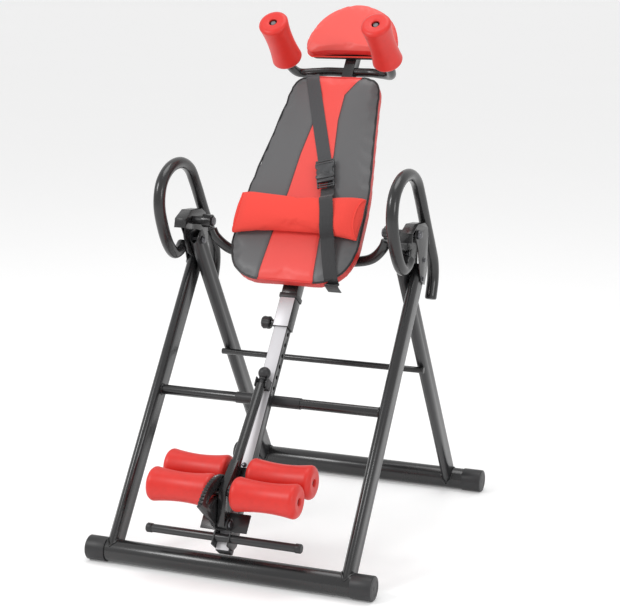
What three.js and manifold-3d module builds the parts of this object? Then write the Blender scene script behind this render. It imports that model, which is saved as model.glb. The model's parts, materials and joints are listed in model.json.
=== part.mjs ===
// Inversion table: a folding A-frame stand that carries a tilting back bed with a sliding foot tube,
// ankle rollers, a lever clamp, a headrest and shoulder rollers. Millimetres, +Z up, -Y is the front.
import * as THREE from 'three';
import { mergeVertices } from 'three/addons/utils/BufferGeometryUtils.js';
import Module from 'manifold-3d';

const wasm = await Module();
wasm.setup();

// ---------------------------------------------------------------- driving dimensions
const GAP = 0.4;                    // air left between pieces that rest on each other
const RUN = 0.3;                    // running clearance of a shaft in its hole

const BASE_LENGTH = 740;            // base tube over its two end caps
const BASE_RADIUS = 28;
const BASE_WALL = 2;
const BASE_HALF_SPREAD = 430;       // middle plane to each base tube, front and back
const CAP_RADIUS = 30;
const CAP_LENGTH = 52;
const CAP_END = 4;
const CAP_FLAT = 0.8;               // depth of the flat the end cap stands on
const CAP_ROUND = 2;                // rounded rim of the end cap
const BASE_HEIGHT = CAP_RADIUS - CAP_FLAT;

const LEG_WIDTH = 26;               // flat-oval leg tube, across the stand
const LEG_DEPTH = 54;
const LEG_WALL = 2;
const CAP_TO_LEG = 1;               // from an end cap's mouth to the front leg
const FRONT_LEG_X = BASE_LENGTH / 2 - CAP_LENGTH - CAP_TO_LEG - LEG_WIDTH / 2;
const FRONT_LEG_ANGLE = 53.5;       // degrees above the floor
const FRONT_LEG_TOP = { y: 55.4, below: 92.8 };   // the leg's upper end, behind and below the tilt axis
const PLATE = 2.5;                  // bracket sheet
const SLIP = 0.5;                   // side room between a leg and the sheet beside it

const PIN_RADIUS = 7;
const PIN_HEAD_RADIUS = PIN_RADIUS + 4;
const BUSH_WALL = 3;
const EYE_RADIUS = PIN_RADIUS + 10;
const EYE_WIDTH = 25;
const EYE_TO_LEG = 2.5;             // from the swing arm's eye to the rear leg beside it
const HINGE_Y = -1;                 // fold axis of the rear frame
const HINGE_BELOW = 50;             // fold axis under the tilt axis
const HINGE_BOLT_RADIUS = 6;
const HINGE_HEAD_RADIUS = HINGE_BOLT_RADIUS + 4;

const BED_ANGLE = 52.6;             // degrees above the floor, at rest on the cross bar
const CROSSBAR_RADIUS = 12.5;
const BUMPER_RADIUS = 14.2;
const BUMPER_LENGTH = 172;
const CROSSBAR_U = -431;            // along the bed line from the tilt axis

const STOP_BAR_RADIUS = 8;
const STOP_BAR_ALONG = 454;         // from the rear base tube, up the rear leg

const HANDLE_RADIUS = 15;
const HANDLE_TO_CHEEK = 0.4;
const HANDLE_WALL = 2;
const SWING_ARM_RADIUS = 13;
const STAY = { half: 9, front: 88, back: 122, below: 23, thickness: 14 };

const PAD = { face: 6, thickness: 42, bottom: -147, top: 453, hip: 170, shoulder: 127 };
const BOARD_THICKNESS = 5;
const BOARD_INSET = 9;
const OUTER_TUBE = {
  width: 42, depth: 36, wall: 2.5, front: PAD.face + PAD.thickness + BOARD_THICKNESS + 2, bottom: -250, top: 440,
};
const SLIDE_CLEARANCE = 1;          // air on each side of the foot tube in the bed tube
const FOOT_TUBE = { wall: 2, bottom: -832, top: -90 };
const STRIP = 1;                    // bright cover strip on the tube fronts
const COLLAR = { bottom: -170, height: 12, wall: 2 };
const HOLE_PITCH = 29;
const HOLE_COUNT = 7;
const HOLE_RADIUS = 5.5;
const PULL_PIN_U = -235;
const PULL_KNOB = { radius: 16, length: 24, stem: 4.5, offset: 13, housing: 9 };

const HEADREST = { face: 20, thickness: 38, bottom: 531, top: 694, half: 127 };
const SHOULDER_BAR_RADIUS = 12;
const POST = { width: 30, depth: 2 * SHOULDER_BAR_RADIUS + 5, wall: 2, bottom: 385, top: 655 };
const SHOULDER_BAR_U = 508;
const SHOULDER_X = 140;
const SHOULDER_ROLLER = { end: 39.5, waist: 34.5, length: 146, bore: SHOULDER_BAR_RADIUS + 0.8, start: 18 };
const PILLOW = { half: 171, bottom: -30, top: 88, height: 56 };
const STRAP = { width: 35, thickness: 2 };
const BUCKLE = { width: 50, thickness: 13, female: 46, male: 28 };

const AXLE_RADIUS = 8;
const ANKLE_ROLLER = { end: 42, waist: 33, length: 166, bore: AXLE_RADIUS + GAP, inner: 25 };
const STRIP_FRONT = OUTER_TUBE.front + OUTER_TUBE.wall + SLIDE_CLEARANCE;
const REAR_AXLE = { y: STRIP_FRONT - AXLE_RADIUS - 0.5, u: -644 };
const FOOT_PLATE = { half: 60, bottom: -792, top: -746, y: STRIP_FRONT - 22.5, thickness: 4 };
const LEVER_PIVOT = { y: FOOT_PLATE.y - 10, u: -778 };
const LEVER_BOLT_RADIUS = 6;
const FRONT_AXLE = { y: LEVER_PIVOT.y - 37, u: -714 };
const LEVER_TUBE = {
  radius: 12, wall: 5, low: { y: LEVER_PIVOT.y - 15, u: -640 }, high: { y: LEVER_PIVOT.y + 7, u: -419 },
};
const LEVER_PLATE = 18;
const LEVER_KNOB_RADIUS = 15.5;
const FOOT_BAR_RADIUS = 10;
const FOOT_BAR = { half: 198, wall: 2, y: STRIP_FRONT - FOOT_BAR_RADIUS - 1, u: -806 };
const FOOT_CHEEK = { thickness: 4, bottom: -828, chamfer: 15 };
const EAR_THICKNESS = 5;
const LEVER_GUIDE = { bottom: -424, top: -400, wall: 3, back: 2, front: LEVER_PIVOT.y + 2 };
const RATCHET = { outer: 114, from: 16, to: 92, tooth: 4, count: 15, plate: 11, x: -22.5 };
const CLAMP_SWING = 42;             // degrees that the lever opens
const SLOT_CLEARANCE = 2;           // air round the front axle in the ratchet's slot

const SIDES = { left: -1, right: 1 };
const FRONT_OF_BACK = { front: -1, rear: 1 };
const degrees = THREE.MathUtils.degToRad;

// The tilt axis is over the plane y = 0, to the whole millimetre, where the front legs at their angle carry it.
const PIVOT_Z = Math.round(
  BASE_HEIGHT + (BASE_HALF_SPREAD + FRONT_LEG_TOP.y) * Math.tan(degrees(FRONT_LEG_ANGLE)) + FRONT_LEG_TOP.below);
const FRONT_LEG_LENGTH = Math.round((BASE_HALF_SPREAD + FRONT_LEG_TOP.y) / Math.cos(degrees(FRONT_LEG_ANGLE)));
const HINGE_Z = PIVOT_Z - HINGE_BELOW;

// ---------------------------------------------------------------- finishes
const FINISHES = {
  blackSteel: { color: 0x1d1d1f, roughness: 0.32, metalness: 0.55 },
  blackPlastic: { color: 0x151516, roughness: 0.55, metalness: 0.0 },
  brightStrip: { color: 0xc9c6c8, roughness: 0.35, metalness: 0.7 },
  zincBolt: { color: 0x6d7073, roughness: 0.4, metalness: 0.9 },
  redFoam: { color: 0xd8342b, roughness: 0.45, metalness: 0.0 },
  redVinyl: { color: 0xe0382e, roughness: 0.42, metalness: 0.0 },
  greyVinyl: { color: 0x5c5c5e, roughness: 0.5, metalness: 0.0 },
  webbing: { color: 0x35363a, roughness: 0.8, metalness: 0.0 },
  board: { color: 0x2a2420, roughness: 0.75, metalness: 0.0 },
};

// ---------------------------------------------------------------- solid helpers
function toSolid(geometry) {
  const bare = geometry.clone();
  bare.deleteAttribute('normal');
  bare.deleteAttribute('uv');
  const merged = mergeVertices(bare, 1e-4);
  return new wasm.Manifold(new wasm.Mesh({
    numProp: 3,
    vertProperties: new Float32Array(merged.attributes.position.array),
    triVerts: new Uint32Array(merged.index.array),
  }));
}

function toGeometry(solid) {
  const mesh = solid.getMesh();
  const geometry = new THREE.BufferGeometry();
  geometry.setAttribute('position', new THREE.BufferAttribute(new Float32Array(mesh.vertProperties), 3));
  geometry.setIndex(new THREE.BufferAttribute(new Uint32Array(mesh.triVerts), 1));
  return geometry;
}

function join(...geometries) {
  const [first, ...rest] = geometries.map(toSolid);
  return toGeometry(rest.reduce((sum, next) => sum.add(next), first));
}

function cut(geometry, ...cutters) {
  return toGeometry(cutters.map(toSolid).reduce((rest, cutter) => rest.subtract(cutter), toSolid(geometry)));
}

function common(a, b) {
  return toGeometry(toSolid(a).intersect(toSolid(b)));
}

// A round bar along X between two x values.
function barX(radius, x0, x1, y = 0, z = 0, segments = 20) {
  const bar = new THREE.CylinderGeometry(radius, radius, Math.abs(x1 - x0), segments);
  bar.rotateZ(Math.PI / 2);
  return bar.translate((x0 + x1) / 2, y, z);
}

// A profile of [radius, x] points turned around the X axis.
function turnedX(profile, segments = 24) {
  const points = profile.map(([radius, along]) => new THREE.Vector2(radius, along));
  const turned = new THREE.LatheGeometry(points, segments);
  return turned.rotateZ(-Math.PI / 2);
}

function ring(outer, inner, x0, x1, segments = 24) {
  return turnedX([[inner, x0], [outer, x0], [outer, x1], [inner, x1], [inner, x0]], segments);
}

function block(x0, x1, y0, y1, z0, z1) {
  const box = new THREE.BoxGeometry(x1 - x0, y1 - y0, z1 - z0);
  return box.translate((x0 + x1) / 2, (y0 + y1) / 2, (z0 + z1) / 2);
}

function shapeOf(points) {
  return new THREE.Shape(points.map(([a, b]) => new THREE.Vector2(a, b)));
}

// A [y, z] outline given thickness along X, from x0 to x1.
function plateYZ(outline, x0, x1) {
  const shape = outline instanceof THREE.Shape ? outline : shapeOf(outline);
  const slab = new THREE.ExtrudeGeometry(shape, { depth: x1 - x0, bevelEnabled: false, curveSegments: 8 });
  slab.applyMatrix4(new THREE.Matrix4().set(0, 0, 1, x0, 1, 0, 0, 0, 0, 1, 0, 0, 0, 0, 0, 1));
  return slab;
}

// An [x, z] outline given thickness along Y, from y0 back to y1, with an optional rounded edge.
function plateXZ(shape, y0, y1, edge = 0, curveSegments = 6, bevelSegments = 2) {
  const slab = new THREE.ExtrudeGeometry(shape, {
    depth: y1 - y0 - 2 * edge,
    bevelEnabled: edge > 0,
    bevelThickness: edge,
    bevelSize: edge,
    bevelOffset: -edge,
    bevelSegments,
    curveSegments,
  });
  slab.rotateX(Math.PI / 2);
  return slab.translate(0, y1 - edge, 0);
}

function circleShape(radius, sides, hole = 0) {
  const turn = 2 * Math.PI / sides;
  const corner = (size) => (_, i) => [size * Math.cos(i * turn), size * Math.sin(i * turn)];
  const shape = shapeOf(Array.from({ length: sides }, corner(radius)));
  if (hole > 0) {
    shape.holes.push(new THREE.Path(shapeOf(Array.from({ length: sides }, corner(hole))).getPoints()));
  }
  return shape;
}

// A bent tube along a smooth curve through [x, y, z] points.
function bentTube(points, radius, hole = 0, steps = 24, sides = 12) {
  const places = points.map((point) => new THREE.Vector3(...point));
  const curve = new THREE.CatmullRomCurve3(places, false, 'centripetal');
  const section = circleShape(radius, sides, hole);
  return new THREE.ExtrudeGeometry(section, { extrudePath: curve, steps, bevelEnabled: false });
}

function rectangleTube(width, y0, y1, z0, z1, wall) {
  const outside = block(-width / 2, width / 2, y0, y1, z0, z1);
  const inside = block(-width / 2 + wall, width / 2 - wall, y0 + wall, y1 - wall, z0 - 1, z1 + 1);
  return cut(outside, inside);
}

// ---------------------------------------------------------------- scene helpers
const stand = new THREE.Group();

function piece(parent, name, finish, geometry, position = [0, 0, 0], rotation = [0, 0, 0]) {
  const mesh = new THREE.Mesh(geometry, new THREE.MeshStandardMaterial(FINISHES[finish]));
  mesh.name = name;
  mesh.position.set(...position);
  mesh.rotation.set(...rotation);
  parent.add(mesh);
  return mesh;
}

// ---------------------------------------------------------------- base tubes and legs
function baseTube() {
  const half = BASE_LENGTH / 2 - CAP_END - GAP;
  return ring(BASE_RADIUS, BASE_RADIUS - BASE_WALL, -half, half, 24);
}

function endCap(side) {
  const mouth = BASE_LENGTH / 2 - CAP_LENGTH;
  const end = BASE_LENGTH / 2;
  const seat = BASE_RADIUS + RUN;
  const cup = turnedX([
    [0, end - CAP_END], [seat, end - CAP_END], [seat, mouth], [CAP_RADIUS, mouth],
    [CAP_RADIUS, end - CAP_ROUND], [CAP_RADIUS - CAP_ROUND, end], [0, end],
  ], 24);
  const below = block(-end - 1, end + 1, -CAP_LENGTH, CAP_LENGTH, -CAP_LENGTH, -BASE_HEIGHT);
  return cut(side < 0 ? cup.rotateZ(Math.PI) : cup, below);
}

// The flat-oval section stands on its base tube, along +Z from the base tube's axis.
function ovalShape(inset) {
  const radius = LEG_WIDTH / 2 - inset;
  const straight = (LEG_DEPTH - LEG_WIDTH) / 2;
  const shape = new THREE.Shape();
  shape.absarc(0, straight, radius, 0, Math.PI, false);
  shape.absarc(0, -straight, radius, Math.PI, 2 * Math.PI, false);
  return shape;
}

function legTube(length) {
  const shape = ovalShape(0);
  shape.holes.push(new THREE.Path(ovalShape(LEG_WALL).getPoints(6)));
  const tube = new THREE.ExtrudeGeometry(shape, { depth: length, bevelEnabled: false, curveSegments: 6 });
  return cut(tube, barX(BASE_RADIUS + GAP, -LEG_WIDTH, LEG_WIDTH, 0, 0, 24));
}

const REAR_LEG_X = FRONT_LEG_X - LEG_WIDTH - PLATE - 2 * SLIP;
const REAR_RISE = Math.hypot(BASE_HALF_SPREAD - HINGE_Y, HINGE_Z - BASE_HEIGHT);
const REAR_LEAN = Math.atan2(BASE_HALF_SPREAD - HINGE_Y, HINGE_Z - BASE_HEIGHT);
const FRONT_LEAN = degrees(90 - FRONT_LEG_ANGLE);

function rearLegTube() {
  const tube = legTube(REAR_RISE + LEG_DEPTH / 2);
  const below = block(-LEG_WIDTH, LEG_WIDTH, -LEG_DEPTH, LEG_DEPTH, 0, REAR_RISE);
  const eye = barX(LEG_DEPTH / 2 - 0.01, -LEG_WIDTH, LEG_WIDTH, 0, REAR_RISE, 24);
  const rounded = common(tube, join(below, eye));
  return cut(rounded, barX(HINGE_BOLT_RADIUS + RUN, -LEG_WIDTH, LEG_WIDTH, 0, REAR_RISE));
}

function baseFrame(parent, end, y) {
  piece(parent, `${end}_base_tube`, 'blackSteel', baseTube(), [0, y, BASE_HEIGHT]);
  for (const [side, sign] of Object.entries(SIDES)) {
    piece(parent, `${end}_cap_${side}`, 'blackPlastic', endCap(sign), [0, y, BASE_HEIGHT]);
  }
}

function legs() {
  for (const [side, sign] of Object.entries(SIDES)) {
    piece(stand, `front_leg_${side}`, 'blackSteel', legTube(FRONT_LEG_LENGTH),
      [sign * FRONT_LEG_X, -BASE_HALF_SPREAD, BASE_HEIGHT], [-FRONT_LEAN, 0, 0]);
    piece(stand, `rear_leg_${side}`, 'blackSteel', rearLegTube(),
      [sign * REAR_LEG_X, BASE_HALF_SPREAD, BASE_HEIGHT], [REAR_LEAN, 0, 0]);
  }
}

// The bar across the rear legs that stops the bed when it is tipped right back.
function stopBar() {
  const half = REAR_LEG_X + LEG_WIDTH / 2 - 2;
  const offset = LEG_DEPTH / 2 + STOP_BAR_RADIUS + GAP;
  const across = BASE_HALF_SPREAD - STOP_BAR_ALONG * Math.sin(REAR_LEAN) - offset * Math.cos(REAR_LEAN);
  const height = BASE_HEIGHT + STOP_BAR_ALONG * Math.cos(REAR_LEAN) - offset * Math.sin(REAR_LEAN);
  piece(stand, 'rear_stop_bar', 'blackSteel', barX(STOP_BAR_RADIUS, -half, half), [0, across, height]);
}

// ---------------------------------------------------------------- pivot brackets, pins and handles
const INNER_CHEEK = FRONT_LEG_X - LEG_WIDTH / 2 - SLIP - PLATE;
const OUTER_CHEEK = FRONT_LEG_X + LEG_WIDTH / 2 + SLIP;

// Side outlines are [y, z] from the tilt axis.
const CHEEK_OUTLINE = [
  [13, -102], [57, -134], [84, -96], [86, -36], [74, 8], [52, 22], [-2, 26], [-41, 9],
  [-47, -14], [-48, -56], [-30, -81],
];
const OUTER_OUTLINE = [
  [24, -118], [54, -134], [70, -104], [76, -36], [72, 8], [52, 22], [-2, 26], [-14, 19], [-15, -10],
  [4, -40], [14, -84],
];
const HOOD_OUTLINE = [
  [-47, -14], [-41, 9], [-2, 26], [52, 22], [74, 8], [86, -36],
  [83.4, -36.4], [72, 6], [51, 19.4], [-1.6, 23.2], [-38.8, 7], [-44.5, -14.3],
];
const HANDLE_ROUTE = [
  [-26, -58], [-46, -71], [-74, -74], [-104, -52], [-133, -6], [-153, 60], [-138, 112], [-92, 144],
  [-30, 150], [19, 129], [49, 90], [94, 15], [136, -52], [160, -96], [163, -138], [147, -186],
];

function mirrored(geometry, sign) {
  if (sign > 0) {
    return geometry;
  }
  return toGeometry(toSolid(geometry).mirror([1, 0, 0]));
}

function pivotBracket() {
  const inner = plateYZ(CHEEK_OUTLINE, INNER_CHEEK, INNER_CHEEK + PLATE);
  const outer = plateYZ(OUTER_OUTLINE, OUTER_CHEEK, OUTER_CHEEK + PLATE);
  const hood = plateYZ(HOOD_OUTLINE, INNER_CHEEK, OUTER_CHEEK + PLATE);
  const folded = join(inner, outer, hood);
  const pinHole = barX(PIN_RADIUS + RUN, INNER_CHEEK - PLATE, OUTER_CHEEK + 2 * PLATE);
  const boltHole = barX(HINGE_BOLT_RADIUS + RUN, INNER_CHEEK - PLATE, INNER_CHEEK + 2 * PLATE,
    HINGE_Y, -HINGE_BELOW);
  return cut(folded, pinHole, boltHole);
}

const EYE_X = REAR_LEG_X - LEG_WIDTH / 2 - EYE_TO_LEG - EYE_WIDTH / 2;

function pivotPin() {
  const innerEnd = EYE_X - EYE_WIDTH / 2 - 2;
  const outerFace = OUTER_CHEEK + PLATE + GAP;
  return turnedX([
    [0, innerEnd - 4], [PIN_HEAD_RADIUS - 1, innerEnd - 4], [PIN_HEAD_RADIUS, innerEnd - 3],
    [PIN_HEAD_RADIUS, innerEnd], [PIN_RADIUS, innerEnd], [PIN_RADIUS, outerFace], [PIN_HEAD_RADIUS, outerFace],
    [PIN_HEAD_RADIUS, outerFace + 4], [PIN_HEAD_RADIUS - 3, outerFace + 9], [0, outerFace + 10],
  ], 16);
}

function hingeBolt() {
  const legInner = REAR_LEG_X - LEG_WIDTH / 2 - GAP;
  const cheekInside = INNER_CHEEK + PLATE + GAP;
  const nut = HINGE_HEAD_RADIUS - 0.5;
  return turnedX([
    [0, legInner - 7], [HINGE_HEAD_RADIUS - 2, legInner - 6], [HINGE_HEAD_RADIUS, legInner - 3],
    [HINGE_HEAD_RADIUS, legInner], [HINGE_BOLT_RADIUS, legInner], [HINGE_BOLT_RADIUS, cheekInside],
    [nut, cheekInside], [nut, cheekInside + 7], [0, cheekInside + 7],
  ], 16);
}

// The grab handle is one loop of tube in the plane of the front leg, with a stay back to its bracket.
function handle() {
  const x = INNER_CHEEK + PLATE + HANDLE_TO_CHEEK + HANDLE_RADIUS;
  const loop = bentTube(HANDLE_ROUTE.map(([y, z]) => [x, y, z]), HANDLE_RADIUS, HANDLE_RADIUS - HANDLE_WALL, 28, 10);
  const stay = block(x - STAY.half, x + STAY.half, STAY.front, STAY.back, -STAY.below, STAY.thickness - STAY.below);
  return join(loop, stay);
}

function sideFrames() {
  for (const [side, sign] of Object.entries(SIDES)) {
    piece(stand, `pivot_bracket_${side}`, 'blackSteel', mirrored(pivotBracket(), sign), [0, 0, PIVOT_Z]);
    piece(stand, `pivot_pin_${side}`, 'zincBolt', mirrored(pivotPin(), sign), [0, 0, PIVOT_Z]);
    piece(stand, `fold_hinge_bolt_${side}`, 'zincBolt', mirrored(hingeBolt(), sign), [0, HINGE_Y, HINGE_Z]);
    piece(stand, `grab_handle_${side}`, 'blackSteel', mirrored(handle(), sign), [0, 0, PIVOT_Z]);
  }
}

// ---------------------------------------------------------------- bed frame: z runs up the bed, -y is its face
const bed = new THREE.Group();
bed.position.set(0, 0, PIVOT_Z);
bed.rotation.set(-degrees(90 - BED_ANGLE), 0, 0);
stand.add(bed);

const OUTER_BACK = OUTER_TUBE.front + OUTER_TUBE.depth;
const FOOT_WIDTH = OUTER_TUBE.width - 2 * OUTER_TUBE.wall - 2 * SLIDE_CLEARANCE;
const FOOT_BACK = OUTER_BACK - OUTER_TUBE.wall - SLIDE_CLEARANCE;
const FOOT_FRONT = STRIP_FRONT + STRIP + GAP;
const TUBE_MID_Y = (FOOT_FRONT + FOOT_BACK) / 2;

function crossBar() {
  const alongBed = new THREE.Vector3(0, FOOT_BACK + GAP + BUMPER_RADIUS, CROSSBAR_U);
  alongBed.applyEuler(bed.rotation).add(bed.position);
  const place = [0, alongBed.y, alongBed.z];
  const half = FRONT_LEG_X - LEG_WIDTH / 2 - GAP;
  piece(stand, 'front_cross_bar', 'blackSteel',
    ring(CROSSBAR_RADIUS, CROSSBAR_RADIUS - LEG_WALL, -half, half), place);
  piece(stand, 'cross_bar_bumper', 'blackPlastic',
    ring(BUMPER_RADIUS, CROSSBAR_RADIUS + RUN, -BUMPER_LENGTH / 2, BUMPER_LENGTH / 2), place);
}

function swingArm() {
  const route = [
    [OUTER_TUBE.width / 2 + GAP, TUBE_MID_Y, -50], [PAD.hip - 80, TUBE_MID_Y, -50],
    [PAD.hip - 20, TUBE_MID_Y - 3, -50], [PAD.hip + 26, TUBE_MID_Y - 18, -45], [EYE_X - 18.5, 28, -28],
    [EYE_X - 2, 3, -3],
  ];
  const tube = bentTube(route, SWING_ARM_RADIUS, 0, 16, 10);
  const eye = barX(EYE_RADIUS, EYE_X - EYE_WIDTH / 2, EYE_X + EYE_WIDTH / 2, 0, 0, 20);
  const bore = barX(PIN_RADIUS + RUN + BUSH_WALL + RUN, EYE_X - EYE_WIDTH, EYE_X + EYE_WIDTH, 0, 0, 16);
  const headRoom = barX(PIN_HEAD_RADIUS + 1.5, EYE_X - EYE_WIDTH, EYE_X - EYE_WIDTH / 2, 0, 0, 16);
  return cut(join(tube, eye), bore, headRoom);
}

function pivotBush() {
  return ring(PIN_RADIUS + RUN + BUSH_WALL, PIN_RADIUS + RUN, EYE_X - EYE_WIDTH / 2 - 1, INNER_CHEEK - SLIP, 16);
}

function bedTube() {
  const { width, front, bottom, top, wall } = OUTER_TUBE;
  const tube = rectangleTube(width, front, OUTER_BACK, bottom, top, wall);
  return cut(tube, barX(HOLE_RADIUS, -width, 0, TUBE_MID_Y, PULL_PIN_U));
}

function tubeStrip(width, front, bottom, top) {
  return block(-width / 2, width / 2, front, front + STRIP, bottom, top);
}

function tubeCollar() {
  const side = OUTER_TUBE.width / 2 + GAP;
  const front = OUTER_TUBE.front - GAP;
  const back = OUTER_BACK + GAP;
  const z0 = COLLAR.bottom;
  const z1 = COLLAR.bottom + COLLAR.height;
  const whole = block(-side - COLLAR.wall, side + COLLAR.wall, front - COLLAR.wall, back + COLLAR.wall, z0, z1);
  return cut(whole, block(-side, side, front, back, z0 - 1, z1 + 1));
}

function padShape(inset) {
  const foot = 68 - inset / 2;
  const hip = PAD.hip - inset;
  const waist = hip - 3;
  const top = PAD.shoulder - inset;
  const z0 = PAD.bottom + inset;
  const z1 = PAD.top - inset;
  const shape = new THREE.Shape();
  shape.moveTo(-foot, z0);
  shape.lineTo(foot, z0);
  shape.bezierCurveTo(hip - 34, z0, hip - 1, z0 + 46, hip, z0 + 112);
  shape.bezierCurveTo(hip, 30, waist + 1, 70, waist, 98);
  shape.lineTo(top, z1 - 62);
  shape.bezierCurveTo(top - 3, z1 - 22, top - 20, z1, 64 - inset / 2, z1);
  shape.lineTo(-64 + inset / 2, z1);
  shape.bezierCurveTo(-top + 20, z1, -top + 3, z1 - 22, -top, z1 - 62);
  shape.lineTo(-waist, 98);
  shape.bezierCurveTo(-waist - 1, 70, -hip, 30, -hip, z0 + 112);
  shape.bezierCurveTo(-hip + 1, z0 + 46, -hip + 34, z0, -foot, z0);
  return shape;
}

const PAD_BACK = PAD.face + PAD.thickness;

function headrestShape() {
  const { half, bottom, top } = HEADREST;
  const shape = new THREE.Shape();
  shape.moveTo(-half + 26, bottom);
  shape.lineTo(half - 26, bottom);
  shape.bezierCurveTo(half - 8, bottom, half, bottom + 14, half, bottom + 38);
  shape.bezierCurveTo(half - 4, top - 46, half - 62, top, 0, top);
  shape.bezierCurveTo(-half + 62, top, -half + 4, top - 46, -half, bottom + 38);
  shape.bezierCurveTo(-half, bottom + 14, -half + 8, bottom, -half + 26, bottom);
  return shape;
}

const POST_FRONT = HEADREST.face + HEADREST.thickness + GAP;
const POST_MIDDLE = POST_FRONT + POST.depth / 2;

function headPost() {
  const tube = rectangleTube(POST.width, POST_FRONT, POST_FRONT + POST.depth, POST.bottom, POST.top, POST.wall);
  return cut(tube, barX(SHOULDER_BAR_RADIUS + RUN, -POST.width, POST.width, POST_MIDDLE, SHOULDER_BAR_U));
}

const SHOULDER_RISE = { y: -150, z: 24 };
const SHOULDER_FOOT = { y: -2, z: 477 };

// Half of the shoulder bar, from the middle out, as [x, y, z]; the other half mirrors it.
function shoulderBar() {
  const half = [
    [SHOULDER_X, SHOULDER_FOOT.y + SHOULDER_RISE.y, SHOULDER_FOOT.z + SHOULDER_RISE.z],
    [SHOULDER_X, SHOULDER_FOOT.y + SHOULDER_RISE.y / 2, SHOULDER_FOOT.z + SHOULDER_RISE.z / 2],
    [SHOULDER_X, SHOULDER_FOOT.y + SHOULDER_RISE.y * 0.12, SHOULDER_FOOT.z + SHOULDER_RISE.z * 0.12],
    [SHOULDER_X, SHOULDER_FOOT.y, SHOULDER_FOOT.z], [SHOULDER_X - 10, 42, 483],
    [96, POST_MIDDLE - 7, 500], [62, POST_MIDDLE, SHOULDER_BAR_U], [POST.width, POST_MIDDLE, SHOULDER_BAR_U],
  ];
  const other = half.map(([x, y, z]) => [-x, y, z]).reverse();
  return bentTube([...half, ...other], SHOULDER_BAR_RADIUS, 0, 38, 10);
}

// A foam roller turned around X, from x = 0 to its length, thick at its ends and waisted between.
function roller({ end, waist, length, bore }) {
  const rows = 6;
  const outside = Array.from({ length: rows + 1 }, (_, i) => {
    const share = i / rows;
    const swell = Math.pow(Math.abs(2 * share - 1), 1.6);
    return [waist + (end - waist) * swell, 7 + (length - 14) * share];
  });
  return turnedX([
    [bore, 0], [end - 9, 0], [end - 2, 2.5], ...outside, [end - 2, length - 2.5], [end - 9, length],
    [bore, length], [bore, 0],
  ], 16);
}

function shoulderRoller() {
  const foam = roller(SHOULDER_ROLLER);
  foam.rotateZ(-Math.PI / 2);
  foam.rotateX(-Math.atan2(SHOULDER_RISE.z, -SHOULDER_RISE.y));
  return foam;
}

function pillow() {
  const { half, bottom, top, height } = PILLOW;
  const back = PAD.face - GAP;
  const shape = new THREE.Shape();
  shape.moveTo(back, bottom);
  shape.bezierCurveTo(back - height * 0.9, bottom - 2, back - height * 1.22, top * 0.55,
    back - height * 0.72, top - 22);
  shape.bezierCurveTo(back - height * 0.5, top - 4, back - 12, top, back, top);
  return plateYZ(shape, -half, half);
}

// Straps run down a slanted line on the pad face; outlines are [y, z] in the strap's own plane.
const STRAP_TOP = { x: -72, z: 453 };
const STRAP_FOOT = { x: 124, z: -147 };
const STRAP_SLANT = Math.atan2(STRAP_FOOT.x - STRAP_TOP.x, STRAP_TOP.z - STRAP_FOOT.z);
const STRAP_MID = { x: 40, z: 160 };

function band(centres, thickness) {
  const line = centres.map(([y, z]) => new THREE.Vector2(y, z));
  const sides = line.map((point, i) => {
    const before = line[Math.max(i - 1, 0)];
    const after = line[Math.min(i + 1, line.length - 1)];
    const along = after.clone().sub(before).normalize();
    return new THREE.Vector2(-along.y, along.x).multiplyScalar(thickness / 2);
  });
  const one = line.map((point, i) => point.clone().add(sides[i]));
  const other = line.map((point, i) => point.clone().sub(sides[i])).reverse();
  return new THREE.Shape([...one, ...other]);
}

function strapPiece(centres, slant) {
  const slab = plateYZ(band(centres, STRAP.thickness), -STRAP.width / 2, STRAP.width / 2);
  return slab.rotateY(slant);
}

const STRAP_Y = PAD.face - GAP - STRAP.thickness / 2;

function upperStrap() {
  const slant = Math.atan2(STRAP_MID.x - STRAP_TOP.x, STRAP_TOP.z - STRAP_MID.z);
  const run = Math.hypot(STRAP_MID.x - STRAP_TOP.x, STRAP_TOP.z - STRAP_MID.z);
  const start = BUCKLE.female / 2 + 2;
  return strapPiece([
    [STRAP_Y, start], [STRAP_Y, run], [STRAP_Y + 2, run + 8], [STRAP_Y + 10, run + 12], [STRAP_Y + 34, run + 12],
  ], -slant);
}

function lowerStrap() {
  const slant = Math.atan2(STRAP_FOOT.x - STRAP_MID.x, STRAP_MID.z - STRAP_FOOT.z);
  const run = Math.hypot(STRAP_FOOT.x - STRAP_MID.x, STRAP_MID.z - STRAP_FOOT.z);
  const stretch = 1 / Math.cos(slant);
  const crest = STRAP_Y - PILLOW.height - 3;
  const at = (u) => (u - STRAP_MID.z) * stretch;
  return strapPiece([
    [STRAP_Y, -BUCKLE.female / 2 - BUCKLE.male - 2], [STRAP_Y - 3, at(PILLOW.top + 10)],
    [STRAP_Y - 26, at(PILLOW.top + 2)], [STRAP_Y - 46, at(PILLOW.top - 20)], [crest, at(44)], [crest - 2, at(20)],
    [crest + 9, at(-8)],
    [STRAP_Y - 22, at(PILLOW.bottom - 5)], [STRAP_Y - 1, at(PILLOW.bottom - 14)], [STRAP_Y, at(-52)],
    [STRAP_Y, -run + 8], [STRAP_Y + 2, -run - 3], [STRAP_Y + 10, -run - 9], [STRAP_Y + 34, -run - 9],
  ], -slant);
}

function buckleShape(width, z0, z1, corner) {
  const shape = new THREE.Shape();
  shape.moveTo(-width / 2 + corner, z0);
  shape.lineTo(width / 2 - corner, z0);
  shape.quadraticCurveTo(width / 2, z0, width / 2, z0 + corner);
  shape.lineTo(width / 2, z1 - corner);
  shape.quadraticCurveTo(width / 2, z1, width / 2 - corner, z1);
  shape.lineTo(-width / 2 + corner, z1);
  shape.quadraticCurveTo(-width / 2, z1, -width / 2, z1 - corner);
  shape.lineTo(-width / 2, z0 + corner);
  shape.quadraticCurveTo(-width / 2, z0, -width / 2 + corner, z0);
  return shape;
}

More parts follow.
